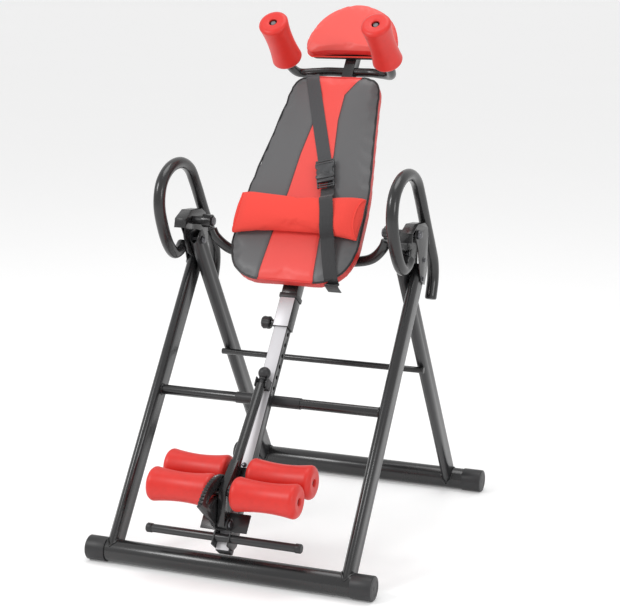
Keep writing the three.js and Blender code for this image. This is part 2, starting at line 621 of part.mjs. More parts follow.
function bedPieces() {
  const { start } = SHOULDER_ROLLER;
  for (const [side, sign] of Object.entries(SIDES)) {
    piece(bed, `swing_arm_${side}`, 'blackSteel', mirrored(swingArm(), sign));
    piece(bed, `pivot_bush_${side}`, 'blackPlastic', mirrored(pivotBush(), sign));
    piece(bed, `shoulder_roller_${side}`, 'redFoam', shoulderRoller(),
      [sign * SHOULDER_X, SHOULDER_FOOT.y - start, SHOULDER_FOOT.z - start * SHOULDER_RISE.z / SHOULDER_RISE.y]);
  }
  piece(bed, 'bed_tube', 'blackSteel', bedTube());
  piece(bed, 'bed_tube_strip', 'brightStrip',
    tubeStrip(OUTER_TUBE.width - 3, OUTER_TUBE.front - GAP - STRIP, OUTER_TUBE.bottom + 1, COLLAR.bottom - 1));
  piece(bed, 'bed_tube_collar', 'blackPlastic', tubeCollar());
  piece(bed, 'back_board', 'board',
    plateXZ(padShape(BOARD_INSET), PAD_BACK + GAP, PAD_BACK + GAP + BOARD_THICKNESS));
  piece(bed, 'back_pad', 'greyVinyl', plateXZ(padShape(0), PAD.face, PAD_BACK, 5));
  piece(bed, 'headrest_pad', 'redVinyl',
    plateXZ(headrestShape(), HEADREST.face, HEADREST.face + HEADREST.thickness, 6));
  piece(bed, 'headrest_post', 'blackSteel', headPost());
  piece(bed, 'shoulder_bar', 'blackSteel', shoulderBar());
  piece(bed, 'lumbar_pillow', 'redVinyl', pillow());
  piece(bed, 'strap_upper', 'webbing', upperStrap(), [STRAP_MID.x, 0, STRAP_MID.z]);
  piece(bed, 'strap_lower', 'webbing', lowerStrap(), [STRAP_MID.x, 0, STRAP_MID.z]);
  const front = PAD.face - GAP - BUCKLE.thickness;
  const half = BUCKLE.female / 2;
  piece(bed, 'buckle_socket', 'blackPlastic',
    plateXZ(buckleShape(BUCKLE.width, -half, half, 5), front, PAD.face - GAP, 1.5, 3, 1),
    [STRAP_MID.x, 0, STRAP_MID.z], [0, -STRAP_SLANT, 0]);
  const tongue = buckleShape(BUCKLE.width - 8, -half - BUCKLE.male, -half - GAP, 4);
  piece(bed, 'buckle_tongue', 'blackPlastic', plateXZ(tongue, front + 2, PAD.face - GAP, 1.5, 3, 1),
    [STRAP_MID.x, 0, STRAP_MID.z], [0, -STRAP_SLANT, 0]);
}

// ---------------------------------------------------------------- height pull pin
function pullPin() {
  const face = -OUTER_TUBE.width / 2;
  const knobEnd = face - PULL_KNOB.offset;
  const tip = -FOOT_WIDTH / 2 - GAP;
  const knob = turnedX([
    [0, knobEnd - PULL_KNOB.length], [PULL_KNOB.radius - 3, knobEnd - PULL_KNOB.length],
    [PULL_KNOB.radius, knobEnd - PULL_KNOB.length + 4], [PULL_KNOB.radius, knobEnd - 3],
    [PULL_KNOB.radius - 3, knobEnd], [PULL_KNOB.stem, knobEnd], [PULL_KNOB.stem, tip - 1], [0, tip],
  ], 20);
  piece(bed, 'pull_pin', 'blackPlastic', knob, [0, TUBE_MID_Y, PULL_PIN_U]);
  piece(bed, 'pull_pin_housing', 'blackSteel',
    ring(PULL_KNOB.housing, PULL_KNOB.stem + RUN, face - PULL_KNOB.offset + 1, face - GAP, 16),
    [0, TUBE_MID_Y, PULL_PIN_U]);
}

// ---------------------------------------------------------------- foot tube and what it carries
function footTube() {
  const { bottom, top, wall } = FOOT_TUBE;
  const tube = rectangleTube(FOOT_WIDTH, FOOT_FRONT, FOOT_BACK, bottom, top, wall);
  const holes = Array.from({ length: HOLE_COUNT }, (_, i) =>
    barX(HOLE_RADIUS, -FOOT_WIDTH, FOOT_WIDTH, TUBE_MID_Y, PULL_PIN_U - i * HOLE_PITCH, 10));
  return cut(tube, ...holes);
}

const CHEEK_X = FOOT_WIDTH / 2 + GAP;
const EAR_X = LEVER_PLATE / 2 + 1.5;
const THROUGH = OUTER_TUBE.width;   // half length of a cutter that goes right through the foot end

function leverBoltHole() {
  return barX(LEVER_BOLT_RADIUS + RUN, -THROUGH, THROUGH, LEVER_PIVOT.y, LEVER_PIVOT.u, 16);
}

function footBracket() {
  const { thickness, bottom, chamfer } = FOOT_CHEEK;
  const cheek = [
    [FOOT_PLATE.y, bottom], [FOOT_BACK + 1 - chamfer, bottom], [FOOT_BACK + 1, bottom + chamfer + 1],
    [FOOT_BACK + 1, FOOT_PLATE.top], [FOOT_PLATE.y, FOOT_PLATE.top],
  ];
  const plate = block(-FOOT_PLATE.half, FOOT_PLATE.half, FOOT_PLATE.y, FOOT_PLATE.y + FOOT_PLATE.thickness,
    FOOT_PLATE.bottom, FOOT_PLATE.top);
  const ear = plateYZ([
    [FOOT_PLATE.y + 1, LEVER_PIVOT.u - 12], [LEVER_PIVOT.y - 8, LEVER_PIVOT.u - 12],
    [LEVER_PIVOT.y - 12, LEVER_PIVOT.u], [LEVER_PIVOT.y - 8, LEVER_PIVOT.u + 12],
    [FOOT_PLATE.y + 1, LEVER_PIVOT.u + 14],
  ], EAR_X, EAR_X + EAR_THICKNESS);
  const left = plateYZ(cheek, -CHEEK_X - thickness, -CHEEK_X);
  const right = plateYZ(cheek, CHEEK_X, CHEEK_X + thickness);
  const barHole = barX(FOOT_BAR_RADIUS + RUN, -THROUGH, THROUGH, FOOT_BAR.y, FOOT_BAR.u);
  return cut(join(plate, left, right, ear), barHole, leverBoltHole());
}

// A toothed quarter around the lever's pivot, slotted for the front axle, on a strut from the foot plate.
function ratchetQuadrant() {
  const at = (radius, angle) => [
    LEVER_PIVOT.y - radius * Math.sin(degrees(angle)), LEVER_PIVOT.u + radius * Math.cos(degrees(angle)),
  ];
  const arc = (radius, from, to, count) => Array.from({ length: count + 1 }, (_, i) =>
    at(radius, from + i * (to - from) / count));
  const step = (RATCHET.to - RATCHET.from) / RATCHET.count;
  const teeth = Array.from({ length: RATCHET.count }, (_, i) => [
    at(RATCHET.outer - RATCHET.tooth, RATCHET.from + i * step),
    at(RATCHET.outer, RATCHET.from + (i + 0.85) * step),
  ]).flat();
  const hub = arc(LEVER_BOLT_RADIUS + 7, RATCHET.to + 40, RATCHET.from - 60, 4);
  const fan = plateYZ([...teeth, ...hub], RATCHET.x, RATCHET.x + RATCHET.plate);
  const axle = Math.hypot(FRONT_AXLE.y - LEVER_PIVOT.y, FRONT_AXLE.u - LEVER_PIVOT.u);
  const rest = THREE.MathUtils.radToDeg(Math.atan2(LEVER_PIVOT.y - FRONT_AXLE.y, FRONT_AXLE.u - LEVER_PIVOT.u));
  const room = AXLE_RADIUS + SLOT_CLEARANCE;
  const spare = THREE.MathUtils.radToDeg(room / axle);
  const slot = plateYZ([
    ...arc(axle + room, rest - spare, rest + CLAMP_SWING + spare, 9),
    ...arc(axle - room, rest + CLAMP_SWING + spare, rest - spare, 7),
  ], RATCHET.x - 1, RATCHET.x + RATCHET.plate + 1);
  const strut = plateYZ([
    [FOOT_PLATE.y - GAP, LEVER_PIVOT.u - 12], [FOOT_PLATE.y - GAP, LEVER_PIVOT.u + 10],
    [LEVER_PIVOT.y - 20, LEVER_PIVOT.u + 6], [LEVER_PIVOT.y - 16, LEVER_PIVOT.u - 12],
  ], RATCHET.x, RATCHET.x + RATCHET.plate);
  return cut(join(fan, strut), leverBoltHole(), slot);
}

function leverBolt() {
  const left = RATCHET.x - GAP;
  const right = EAR_X + EAR_THICKNESS + GAP;
  const head = LEVER_BOLT_RADIUS + 3;
  return turnedX([
    [0, left - 6], [head - 2, left - 6], [head, left - 4], [head, left], [LEVER_BOLT_RADIUS, left],
    [LEVER_BOLT_RADIUS, right], [head, right], [head, right + 6], [0, right + 6],
  ], 16);
}

function axleMount() {
  const half = ANKLE_ROLLER.inner - 6;
  const rise = AXLE_RADIUS + 5;
  const box = block(-half, half, REAR_AXLE.y - AXLE_RADIUS - 3, STRIP_FRONT - GAP,
    REAR_AXLE.u - rise, REAR_AXLE.u + rise);
  return cut(box, barX(AXLE_RADIUS + RUN, -THROUGH, THROUGH, REAR_AXLE.y, REAR_AXLE.u));
}

function leverGuide() {
  const { bottom, top, wall, front } = LEVER_GUIDE;
  const reach = LEVER_TUBE.radius + 1;
  const seat = STRIP_FRONT - GAP;
  const back = block(-reach - wall, reach + wall, seat - LEVER_GUIDE.back, seat, bottom, top);
  const left = block(-reach - wall, -reach, front, seat, bottom, top);
  const right = block(reach, reach + wall, front, seat, bottom, top);
  return join(back, left, right);
}

function ankleRoller(sign) {
  const foam = roller(ANKLE_ROLLER).translate(ANKLE_ROLLER.inner, 0, 0);
  return sign < 0 ? foam.rotateZ(Math.PI) : foam;
}

const AXLE_HALF = ANKLE_ROLLER.inner + ANKLE_ROLLER.length - 6;

function footPieces() {
  piece(bed, 'foot_tube', 'blackSteel', footTube());
  piece(bed, 'foot_tube_strip', 'brightStrip',
    tubeStrip(FOOT_WIDTH - 2, STRIP_FRONT, FOOT_TUBE.bottom, FOOT_TUBE.top));
  piece(bed, 'foot_bracket', 'blackSteel', footBracket());
  piece(bed, 'foot_bar', 'blackSteel',
    ring(FOOT_BAR_RADIUS, FOOT_BAR_RADIUS - FOOT_BAR.wall, -FOOT_BAR.half, FOOT_BAR.half, 20),
    [0, FOOT_BAR.y, FOOT_BAR.u]);
  piece(bed, 'ratchet_quadrant', 'blackSteel', ratchetQuadrant());
  piece(bed, 'lever_pivot_bolt', 'zincBolt', leverBolt(), [0, LEVER_PIVOT.y, LEVER_PIVOT.u]);
  piece(bed, 'rear_axle_mount', 'blackSteel', axleMount());
  piece(bed, 'rear_axle', 'blackSteel', barX(AXLE_RADIUS, -AXLE_HALF, AXLE_HALF),
    [0, REAR_AXLE.y, REAR_AXLE.u]);
  piece(bed, 'axle_mount_bolt', 'zincBolt', turnedX([[0, 0], [6, 0], [6, 2], [4, 4.5], [0, 5]], 16),
    [0, STRIP_FRONT - GAP, REAR_AXLE.u + 26], [0, 0, -Math.PI / 2]);
  piece(bed, 'lever_guide', 'blackPlastic', leverGuide());
  for (const [side, sign] of Object.entries(SIDES)) {
    piece(bed, `rear_ankle_roller_${side}`, 'redFoam', ankleRoller(sign), [0, REAR_AXLE.y, REAR_AXLE.u]);
  }
}

// ---------------------------------------------------------------- ankle lever
function leverBody() {
  const { low, high, radius, wall } = LEVER_TUBE;
  const run = Math.hypot(high.y - low.y, high.u - low.u);
  const lean = Math.atan2(high.y - low.y, high.u - low.u);
  const tube = new THREE.CylinderGeometry(radius, radius, run, 20);
  const bore = new THREE.CylinderGeometry(radius - wall, radius - wall, 60, 16);
  for (const [geometry, shift] of [[tube, 0], [bore, run / 2]]) {
    geometry.rotateX(Math.PI / 2);
    geometry.translate(0, 0, shift);
    geometry.rotateX(-lean);
    geometry.translate(0, (low.y + high.y) / 2, (low.u + high.u) / 2);
  }
  const half = LEVER_PLATE / 2;
  const arm = plateYZ([
    [LEVER_PIVOT.y + 7, LEVER_PIVOT.u - 7], [LEVER_PIVOT.y, LEVER_PIVOT.u - 11],
    [LEVER_PIVOT.y - 9, LEVER_PIVOT.u - 8], [FRONT_AXLE.y - 13, FRONT_AXLE.u - 4],
    [FRONT_AXLE.y - 13, FRONT_AXLE.u + 6], [low.y - 13, low.u + 12], [low.y + 13, low.u + 12],
    [LEVER_PIVOT.y + 4, FRONT_AXLE.u], [LEVER_PIVOT.y + 8, LEVER_PIVOT.u],
  ], -half, half);
  const axleHole = barX(AXLE_RADIUS + RUN, -THROUGH, THROUGH, FRONT_AXLE.y, FRONT_AXLE.u);
  return cut(join(tube, arm), bore, leverBoltHole(), axleHole);
}

function leverPieces() {
  const { low, high, radius, wall } = LEVER_TUBE;
  const lean = Math.atan2(high.y - low.y, high.u - low.u);
  const stem = radius - wall - RUN;
  piece(bed, 'ankle_lever', 'blackSteel', leverBody());
  piece(bed, 'front_axle', 'blackSteel', barX(AXLE_RADIUS, -AXLE_HALF, AXLE_HALF),
    [0, FRONT_AXLE.y, FRONT_AXLE.u]);
  for (const [side, sign] of Object.entries(SIDES)) {
    piece(bed, `front_ankle_roller_${side}`, 'redFoam', ankleRoller(sign), [0, FRONT_AXLE.y, FRONT_AXLE.u]);
  }
  const knob = new THREE.LatheGeometry([
    [0, -26], [stem, -26], [stem, 12], [9, 14], [LEVER_KNOB_RADIUS - 2, 21], [LEVER_KNOB_RADIUS, 29],
    [LEVER_KNOB_RADIUS, 38], [LEVER_KNOB_RADIUS - 4, 45], [0, 48],
  ].map(([r, along]) => new THREE.Vector2(r, along)), 20).rotateX(Math.PI / 2);
  piece(bed, 'lever_release_knob', 'blackPlastic', knob, [0, high.y, high.u], [-lean, 0, 0]);
}

// ---------------------------------------------------------------- assembly
for (const [end, sign] of Object.entries(FRONT_OF_BACK)) {
  baseFrame(stand, end, sign * BASE_HALF_SPREAD);
}
legs();
stopBar();
crossBar();
sideFrames();
bedPieces();
pullPin();
footPieces();
leverPieces();

// The origin is the middle of the whole object's box, on the floor.
function centreOnFloor(group) {
  group.updateMatrixWorld(true);
  const box = new THREE.Box3().setFromObject(group, true);
  group.position.set(-(box.min.x + box.max.x) / 2, -(box.min.y + box.max.y) / 2, -box.min.z);
  group.updateMatrixWorld(true);
}

centreOnFloor(stand);

export default stand;
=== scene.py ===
"""Looks of a folding inversion table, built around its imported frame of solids.

The stand, bed, foot slide and ankle clamp keep their shapes and get rounded edges and real
finishes. The cushions, foam rollers, webbing and buckle are made anew in the places that the
solids give. Everything is in metres in the row frame; pieces of the bed are made in the bed's own
frame, where x runs across, y runs back through the cushion and z runs up the bed.
"""
import json
import logging
import math
import random
from dataclasses import dataclass, replace
from enum import Enum
from typing import Callable, Sequence

import bmesh
import bpy
from mathutils import Matrix, Vector
from mathutils.bvhtree import BVHTree


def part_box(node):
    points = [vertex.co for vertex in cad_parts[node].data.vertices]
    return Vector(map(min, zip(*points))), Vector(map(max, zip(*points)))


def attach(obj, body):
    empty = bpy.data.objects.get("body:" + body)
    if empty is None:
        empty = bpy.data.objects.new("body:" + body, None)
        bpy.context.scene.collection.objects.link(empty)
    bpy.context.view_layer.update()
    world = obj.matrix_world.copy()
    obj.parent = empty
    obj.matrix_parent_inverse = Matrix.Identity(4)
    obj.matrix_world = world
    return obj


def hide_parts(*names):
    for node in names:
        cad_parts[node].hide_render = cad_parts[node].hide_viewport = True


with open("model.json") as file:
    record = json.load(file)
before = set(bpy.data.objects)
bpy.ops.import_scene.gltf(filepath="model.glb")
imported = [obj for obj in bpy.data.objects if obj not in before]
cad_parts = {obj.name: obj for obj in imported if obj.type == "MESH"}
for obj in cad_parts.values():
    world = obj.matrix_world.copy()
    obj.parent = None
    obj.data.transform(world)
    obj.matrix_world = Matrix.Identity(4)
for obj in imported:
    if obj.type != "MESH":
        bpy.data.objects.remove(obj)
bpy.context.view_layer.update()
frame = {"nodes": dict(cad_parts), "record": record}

log = logging.getLogger("inversion_table")
MM = 0.001
Colour = tuple[float, float, float]
Point = Sequence[float]


class Body(Enum):
    """The moving bodies that a piece can ride on."""

    STAND = "stand"
    REAR = "rear_frame"
    BED = "bed"
    PIN = "pull_pin"
    FOOT = "foot_slide"
    CLAMP = "ankle_clamp"
    KNOB = "release_knob"


class Side(Enum):
    """Left and right as seen from the front, with the sign of x."""

    LEFT = -1
    RIGHT = 1

    @property
    def word(self) -> str:
        """The side's name as it ends a node's name."""
        return self.name.lower()


# ------------------------------------------------------------------ shader maths
class Wire:
    """An output socket that takes part in arithmetic, adding Math nodes as it goes."""

    def __init__(self, bench: "Bench", socket: bpy.types.NodeSocket) -> None:
        """Wraps a socket of the bench's node tree."""
        self.bench = bench
        self.socket = socket

    def maths(self, operation: str, *values: "Wire | float") -> "Wire":
        """Adds one Math node.

        Args:
            operation: the node's operation.
            values: its inputs, in order.
        Returns:
            The node's output.
        """
        return self.bench.node("ShaderNodeMath", {"operation": operation}, dict(enumerate(values)))

    def __add__(self, other: "Wire | float") -> "Wire":
        """self + other."""
        return self.maths("ADD", self, other)

    __radd__ = __add__

    def __sub__(self, other: "Wire | float") -> "Wire":
        """self - other."""
        return self.maths("SUBTRACT", self, other)

    def __rsub__(self, other: "Wire | float") -> "Wire":
        """other - self."""
        return self.maths("SUBTRACT", other, self)

    def __mul__(self, other: "Wire | float") -> "Wire":
        """self * other."""
        return self.maths("MULTIPLY", self, other)

    __rmul__ = __mul__

    def __truediv__(self, other: "Wire | float") -> "Wire":
        """self / other."""
        return self.maths("DIVIDE", self, other)

    def __abs__(self) -> "Wire":
        """The size of self without its sign."""
        return self.maths("ABSOLUTE", self)

    def __lt__(self, other: "Wire | float") -> "Wire":
        """1 where self is less than other, else 0."""
        return self.maths("LESS_THAN", self, other)

    def __gt__(self, other: "Wire | float") -> "Wire":
        """1 where self is more than other, else 0."""
        return self.maths("GREATER_THAN", self, other)

    def wave(self, period: float) -> "Wire":
        """A sine of self with this period, from 0 to 1."""
        return self.maths("SINE", self * (2 * math.pi / period)) * 0.5 + 0.5


class Bench:
    """Builds one material's node tree."""

    def __init__(self, name: str) -> None:
        """Starts an empty tree for a material of that name."""
        self.material = bpy.data.materials.new(name)
        self.material.use_nodes = True
        self.tree = self.material.node_tree
        self.tree.nodes.clear()

    def node(self, kind: str, settings: dict | None = None, inputs: dict | None = None,
             out: int | str = 0) -> Wire:
        """Adds a node.

        Args:
            kind: the node's type.
            settings: attributes set first; "stops" are a ramp's (place, grey level) pairs.
            inputs: values or wires by the socket's name or number.
            out: which output to return.
        Returns:
            The chosen output.
        """
        made = self.tree.nodes.new(kind)
        for name, value in (settings or {}).items():
            if name == "stops":
                self._set_stops(made.color_ramp.elements, value)
            else:
                setattr(made, name, value)
        for key, value in (inputs or {}).items():
            if isinstance(value, Wire):
                self.tree.links.new(value.socket, made.inputs[key])
            else:
                made.inputs[key].default_value = value
        return Wire(self, made.outputs[out])

    @staticmethod
    def _set_stops(elements: bpy.types.bpy_prop_collection, stops: Sequence[tuple[float, float]]) -> None:
        """Gives a ramp its stops, as (place, grey level)."""
        while len(elements) < len(stops):
            elements.new(1.0)
        for element, (place, level) in zip(elements, stops):
            element.position = place
            element.color = (level, level, level, 1.0)

    def coordinates(self, kind: str = "Object") -> Wire:
        """The surface's own coordinates, in metres for kind Object."""
        return self.node("ShaderNodeTexCoord", out=kind)

    def axis(self, coordinates: Wire, name: str) -> Wire:
        """One of X, Y or Z of the coordinates."""
        return self.node("ShaderNodeSeparateXYZ", inputs={0: coordinates}, out=name)

    def stretched(self, coordinates: Wire, scale: Point) -> Wire:
        """Coordinates multiplied by a scale for each axis."""
        return self.node("ShaderNodeMapping", inputs={"Vector": coordinates, "Scale": tuple(scale)})

    def noise(self, coordinates: Wire, scale: float, detail: float = 3.0) -> Wire:
        """Smooth noise from 0 to 1, with about scale lumps in a metre."""
        return self.node("ShaderNodeTexNoise", inputs={"Vector": coordinates, "Scale": scale, "Detail": detail})

    def cells(self, coordinates: Wire, scale: float) -> Wire:
        """Distance to the nearest cell edge, for pebbled grain."""
        return self.node("ShaderNodeTexVoronoi", {"feature": "DISTANCE_TO_EDGE"},
                         {"Vector": coordinates, "Scale": scale})

    def blend(self, share: Wire | float, first: Wire | Colour, second: Wire | Colour) -> Wire:
        """Mixes two colours.

        Args:
            share: 0 for the first, 1 for the second.
            first: the colour at 0.
            second: the colour at 1.
        Returns:
            The mixed colour.
        """
        fix = [(*c, 1.0) if isinstance(c, tuple) else c for c in (first, second)]
        return self.node("ShaderNodeMix", {"data_type": "RGBA"}, {0: share, 6: fix[0], 7: fix[1]}, out=2)

    def bump(self, height: Wire, strength: float, distance: float) -> Wire:
        """A normal from a height, where distance is the full height in metres."""
        return self.node("ShaderNodeBump", inputs={"Height": height, "Strength": strength, "Distance": distance})

    def finish(self, **values: Wire | float) -> bpy.types.Material:
        """Adds the shader and the output.

        Args:
            values: shader inputs, with underscores for spaces in their names.
        Returns:
            The finished material.
        """
        inputs = {name.replace("_", " "): value for name, value in values.items()}
        shader = self.node("ShaderNodeBsdfPrincipled", inputs=inputs)
        self.node_output(shader)
        return self.material

    def node_output(self, shader: Wire) -> None:
        """Joins the shader to the material's output."""
        output = self.tree.nodes.new("ShaderNodeOutputMaterial")
        self.tree.links.new(shader.socket, output.inputs["Surface"])


# ------------------------------------------------------------------ finishes
@dataclass(frozen=True)
class Finish:
    """A named finish and the record's slot that it belongs to."""

    name: str
    slot: str
    tone: Colour

    def material(self) -> bpy.types.Material:
        """The material, made once."""
        return bpy.data.materials.get(self.name) or self.paint(Bench(self.name))

    def paint(self, bench: Bench) -> bpy.types.Material:
        """Builds the node tree; each kind of finish has its own."""
        raise NotImplementedError


@dataclass(frozen=True)
class PowderCoat(Finish):
    """Stoved black coating with a faint orange peel, dust and handling marks."""

    gloss: float = 0.24

    def paint(self, bench: Bench) -> bpy.types.Material:
        """Gloss black that varies a little in tone and roughness."""
        place = bench.coordinates()
        cloud = bench.noise(place, 9.0, 4.0)
        peel = bench.noise(place, 260.0, 2.0)
        scuff = bench.noise(bench.stretched(place, (60, 60, 9)), 4.0, 6.0)
        lighter = tuple(min(1.0, 1.7 * t + 0.004) for t in self.tone)
        colour = bench.blend(cloud * 0.7, self.tone, lighter)
        rough = cloud * 0.08 + scuff * 0.08 + (self.gloss - 0.06)
        return bench.finish(Base_Color=colour, Roughness=rough, Metallic=0.0, Specular_IOR_Level=0.55,
                            Coat_Weight=0.15, Coat_Roughness=0.1, Normal=bench.bump(peel, 0.03, 0.0004))


@dataclass(frozen=True)
class MouldedPlastic(Finish):
    """Moulded plastic with a fine spark-eroded grain."""

    gloss: float = 0.42

    def paint(self, bench: Bench) -> bpy.types.Material:
        """Dull grain with slightly shinier rubbed patches."""
        place = bench.coordinates()
        grain = bench.noise(place, 1500.0, 2.0)
        cloud = bench.noise(place, 30.0, 3.0)
        lighter = tuple(1.5 * t + 0.004 for t in self.tone)
        return bench.finish(Base_Color=bench.blend(cloud, self.tone, lighter),
                            Roughness=cloud * 0.14 + grain * 0.08 + (self.gloss - 0.1),
                            Specular_IOR_Level=0.5, Normal=bench.bump(grain, 0.35, 0.0004))


@dataclass(frozen=True)
class BrushedStrip(Finish):
    """Satin cover strip, brushed along the tube."""

    def paint(self, bench: Bench) -> bpy.types.Material:
        """Streaks that run up the bed, with a soft haze across."""
        place = bench.coordinates()
        streak = bench.noise(bench.stretched(place, (900, 900, 6)), 1.0, 4.0)
        haze = bench.noise(place, 14.0, 3.0)
        dark = tuple(0.84 * t for t in self.tone)
        return bench.finish(Base_Color=bench.blend(streak * 0.7 + haze * 0.2, dark, self.tone),
                            Metallic=0.35, Roughness=streak * 0.16 + haze * 0.1 + 0.32,
                            Normal=bench.bump(streak, 0.12, 0.0003))


@dataclass(frozen=True)
class PlatedSteel(Finish):
    """Dark zinc-plated bolts and pins."""

    def paint(self, bench: Bench) -> bpy.types.Material:
        """Metal with a mottled plate."""
        place = bench.coordinates()
        mottle = bench.noise(place, 160.0, 4.0)
        dark = tuple(0.6 * t for t in self.tone)
        return bench.finish(Base_Color=bench.blend(mottle, dark, self.tone), Metallic=0.95,
                            Roughness=mottle * 0.2 + 0.24, Normal=bench.bump(mottle, 0.1, 0.0003))


@dataclass(frozen=True)
class FoamSkin(Finish):
    """Dipped foam: a smooth, slightly glossy skin with shallow dimples."""

    def paint(self, bench: Bench) -> bpy.types.Material:
        """Red skin, a little duller where it dimples, with painted shade that makes the dimples a little darker."""
        place = bench.coordinates()
        dimple = bench.noise(place, 70.0, 4.0)
        pores = bench.noise(place, 900.0, 2.0)
        # deep is the red with painted shade, laid in the dimples' hollows where the bump is low
        deep = tuple(0.82 * t for t in self.tone)
        height = dimple * 0.8 + pores * 0.2
        return bench.finish(Base_Color=bench.blend(dimple, deep, self.tone),
                            Roughness=dimple * 0.10 + pores * 0.08 + 0.32, Specular_IOR_Level=0.42,
                            Sheen_Weight=0.08, Normal=bench.bump(height, 0.16, 0.0012))


@dataclass(frozen=True)
class Vinyl(Finish):
    """Upholstery vinyl with a pebbled grain and soft creases."""

    def grain(self, bench: Bench, place: Wire) -> tuple[Wire, Wire]:
        """The grain's height and a slow variation.

        Args:
            bench: the bench that the nodes go on.
            place: the surface's coordinates.
        Returns:
            The height and the variation, each from 0 to 1.
        """
        pebbles = bench.cells(place, 620.0)
        cloud = bench.noise(place, 11.0, 4.0)
        crease = bench.noise(bench.stretched(place, (26, 26, 9)), 1.6, 5.0)
        return pebbles * 1.6 + crease * 0.9, cloud

    def dress(self, bench: Bench, colour: Wire, height: Wire, cloud: Wire) -> bpy.types.Material:
        """The shader that all vinyl shares."""
        return bench.finish(Base_Color=colour, Roughness=cloud * 0.14 + 0.34, Specular_IOR_Level=0.45,
                            Sheen_Weight=0.06, Normal=bench.bump(height, 0.22, 0.0005))

    def paint(self, bench: Bench) -> bpy.types.Material:
        """One colour of vinyl."""
        height, cloud = self.grain(bench, bench.coordinates())
        deep = tuple(0.84 * t for t in self.tone)
        return self.dress(bench, bench.blend(cloud, deep, self.tone), height, cloud)


@dataclass(frozen=True)
class PanelVinyl(Vinyl):
    """The back cushion's cover: a waisted centre panel, two side panels and a side band.

    Its surface coordinates are the bed's: x across, y back through the cushion, z up the bed.
    """

    centre: Colour = (0.78, 0.10, 0.08)
    band: Colour = (0.55, 0.035, 0.03)
    bottom: float = -0.147
    top: float = 0.453
    edge: float = 0.014
    widths: tuple[tuple[float, float], ...] = ()
    widest: float = 0.1

    def paint(self, bench: Bench) -> bpy.types.Material:
        """Masks from the panel outlines pick the colour; a dark seam lies on each outline."""
        place = bench.coordinates()
        across, through, up = (bench.axis(place, name) for name in "XYZ")
        share = (up - self.bottom) / (self.top - self.bottom)
        ramp = bench.node("ShaderNodeValToRGB", {"stops": self.widths}, {0: share})
        half = bench.node("ShaderNodeSeparateColor", inputs={0: ramp}) * self.widest
        aside = abs(across) - half
        in_centre = aside < 0.0
        seam = abs(aside) < 0.0014
        on_front = through < self.edge
        height, cloud = self.grain(bench, place)
        panels = bench.blend(in_centre, self.tone, self.centre)
        seamed = bench.blend(seam * 0.85, panels, (0.03, 0.012, 0.012))
        colour = bench.blend(on_front, self.band, seamed)
        worn = bench.blend(cloud * 0.35, colour, bench.blend(0.25, colour, (0.0, 0.0, 0.0)))
        return self.dress(bench, worn, height, cloud)


@dataclass(frozen=True)
class Webbing(Finish):
    """Woven strap, with fine ribs along it, picks across and a denser selvedge."""

    def paint(self, bench: Bench) -> bpy.types.Material:
        """The weave follows the strap's own map: x across in widths, y along in metres."""
        place = bench.coordinates("UV")
        across, along = bench.axis(place, "X"), bench.axis(place, "Y")
        ribs = across.wave(1 / 11)
        picks = along.wave(0.0021)
        weave = ribs * 0.6 + picks * 0.4
        fuzz = bench.noise(bench.coordinates(), 700.0, 3.0)
        pale = tuple(2.1 * t for t in self.tone)
        colour = bench.blend(weave * 0.7 + fuzz * 0.3, self.tone, pale)
        return bench.finish(Base_Color=colour, Roughness=fuzz * 0.15 + 0.5, Sheen_Weight=0.25,
                            Sheen_Roughness=0.4, Normal=bench.bump(weave + fuzz * 0.3, 0.5, 0.0005))


@dataclass(frozen=True)
class StainedBoard(Finish):
    """Black-stained plywood with its grain along the bed."""

    def paint(self, bench: Bench) -> bpy.types.Material:
        """Long grain lines in a thin stain."""
        place = bench.coordinates()
        figure = bench.noise(bench.stretched(place, (70, 70, 3)), 1.5, 6.0)
        pale = tuple(2.4 * t for t in self.tone)
        return bench.finish(Base_Color=bench.blend(figure, self.tone, pale),
                            Roughness=figure * 0.2 + 0.5, Normal=bench.bump(figure, 0.3, 0.0006))


@dataclass(frozen=True)
class StudioFloor(Finish):
    """Pale seamless floor, lit a little from below."""

    glow: float = 0.14

    def paint(self, bench: Bench) -> bpy.types.Material:
        """Nearly white, with the faintest mottle."""
        mottle = bench.noise(bench.coordinates(), 0.6, 2.0)
        dim = tuple(0.985 * t for t in self.tone)
        shade = bench.blend(mottle, dim, self.tone)
        return bench.finish(Base_Color=shade, Roughness=0.85, Specular_IOR_Level=0.1, Emission_Color=shade,
                            Emission_Strength=self.glow)


COAT = PowderCoat("gloss_black_coat", "black_steel", (0.0075, 0.0075, 0.008))
FRAME_COAT = PowderCoat("satin_black_coat", "black_steel", (0.011, 0.011, 0.012), 0.33)
PLASTIC = MouldedPlastic("moulded_black", "black_plastic", (0.012, 0.012, 0.013))
BUCKLE_PLASTIC = MouldedPlastic("buckle_black", "black_plastic", (0.028, 0.029, 0.031), 0.38)
PLUG_PLASTIC = MouldedPlastic("plug_grey", "black_plastic", (0.13, 0.13, 0.135), 0.5)
STRIP = BrushedStrip("satin_strip", "bright_strip", (0.62, 0.61, 0.63))
ZINC = PlatedSteel("dark_zinc", "zinc_bolt", (0.16, 0.16, 0.17))
FOAM = FoamSkin("red_foam_skin", "red_foam", (0.70, 0.024, 0.016))
RED_VINYL = Vinyl("red_vinyl", "red_vinyl", (0.66, 0.016, 0.012))
PIPING = Vinyl("black_piping", "grey_vinyl", (0.012, 0.012, 0.013))
WEB = Webbing("charcoal_webbing", "webbing", (0.022, 0.023, 0.025))
LAP_WEB = Webbing("black_webbing", "webbing", (0.008, 0.008, 0.009))
THREAD = Webbing("charcoal_thread", "webbing", (0.05, 0.05, 0.052))
BOARD = StainedBoard("stained_board", "board", (0.018, 0.016, 0.014))
BOLT_RADIUS = 5.5 * MM
FLOOR = StudioFloor("studio_floor", "black_plastic", (0.93, 0.93, 0.93))


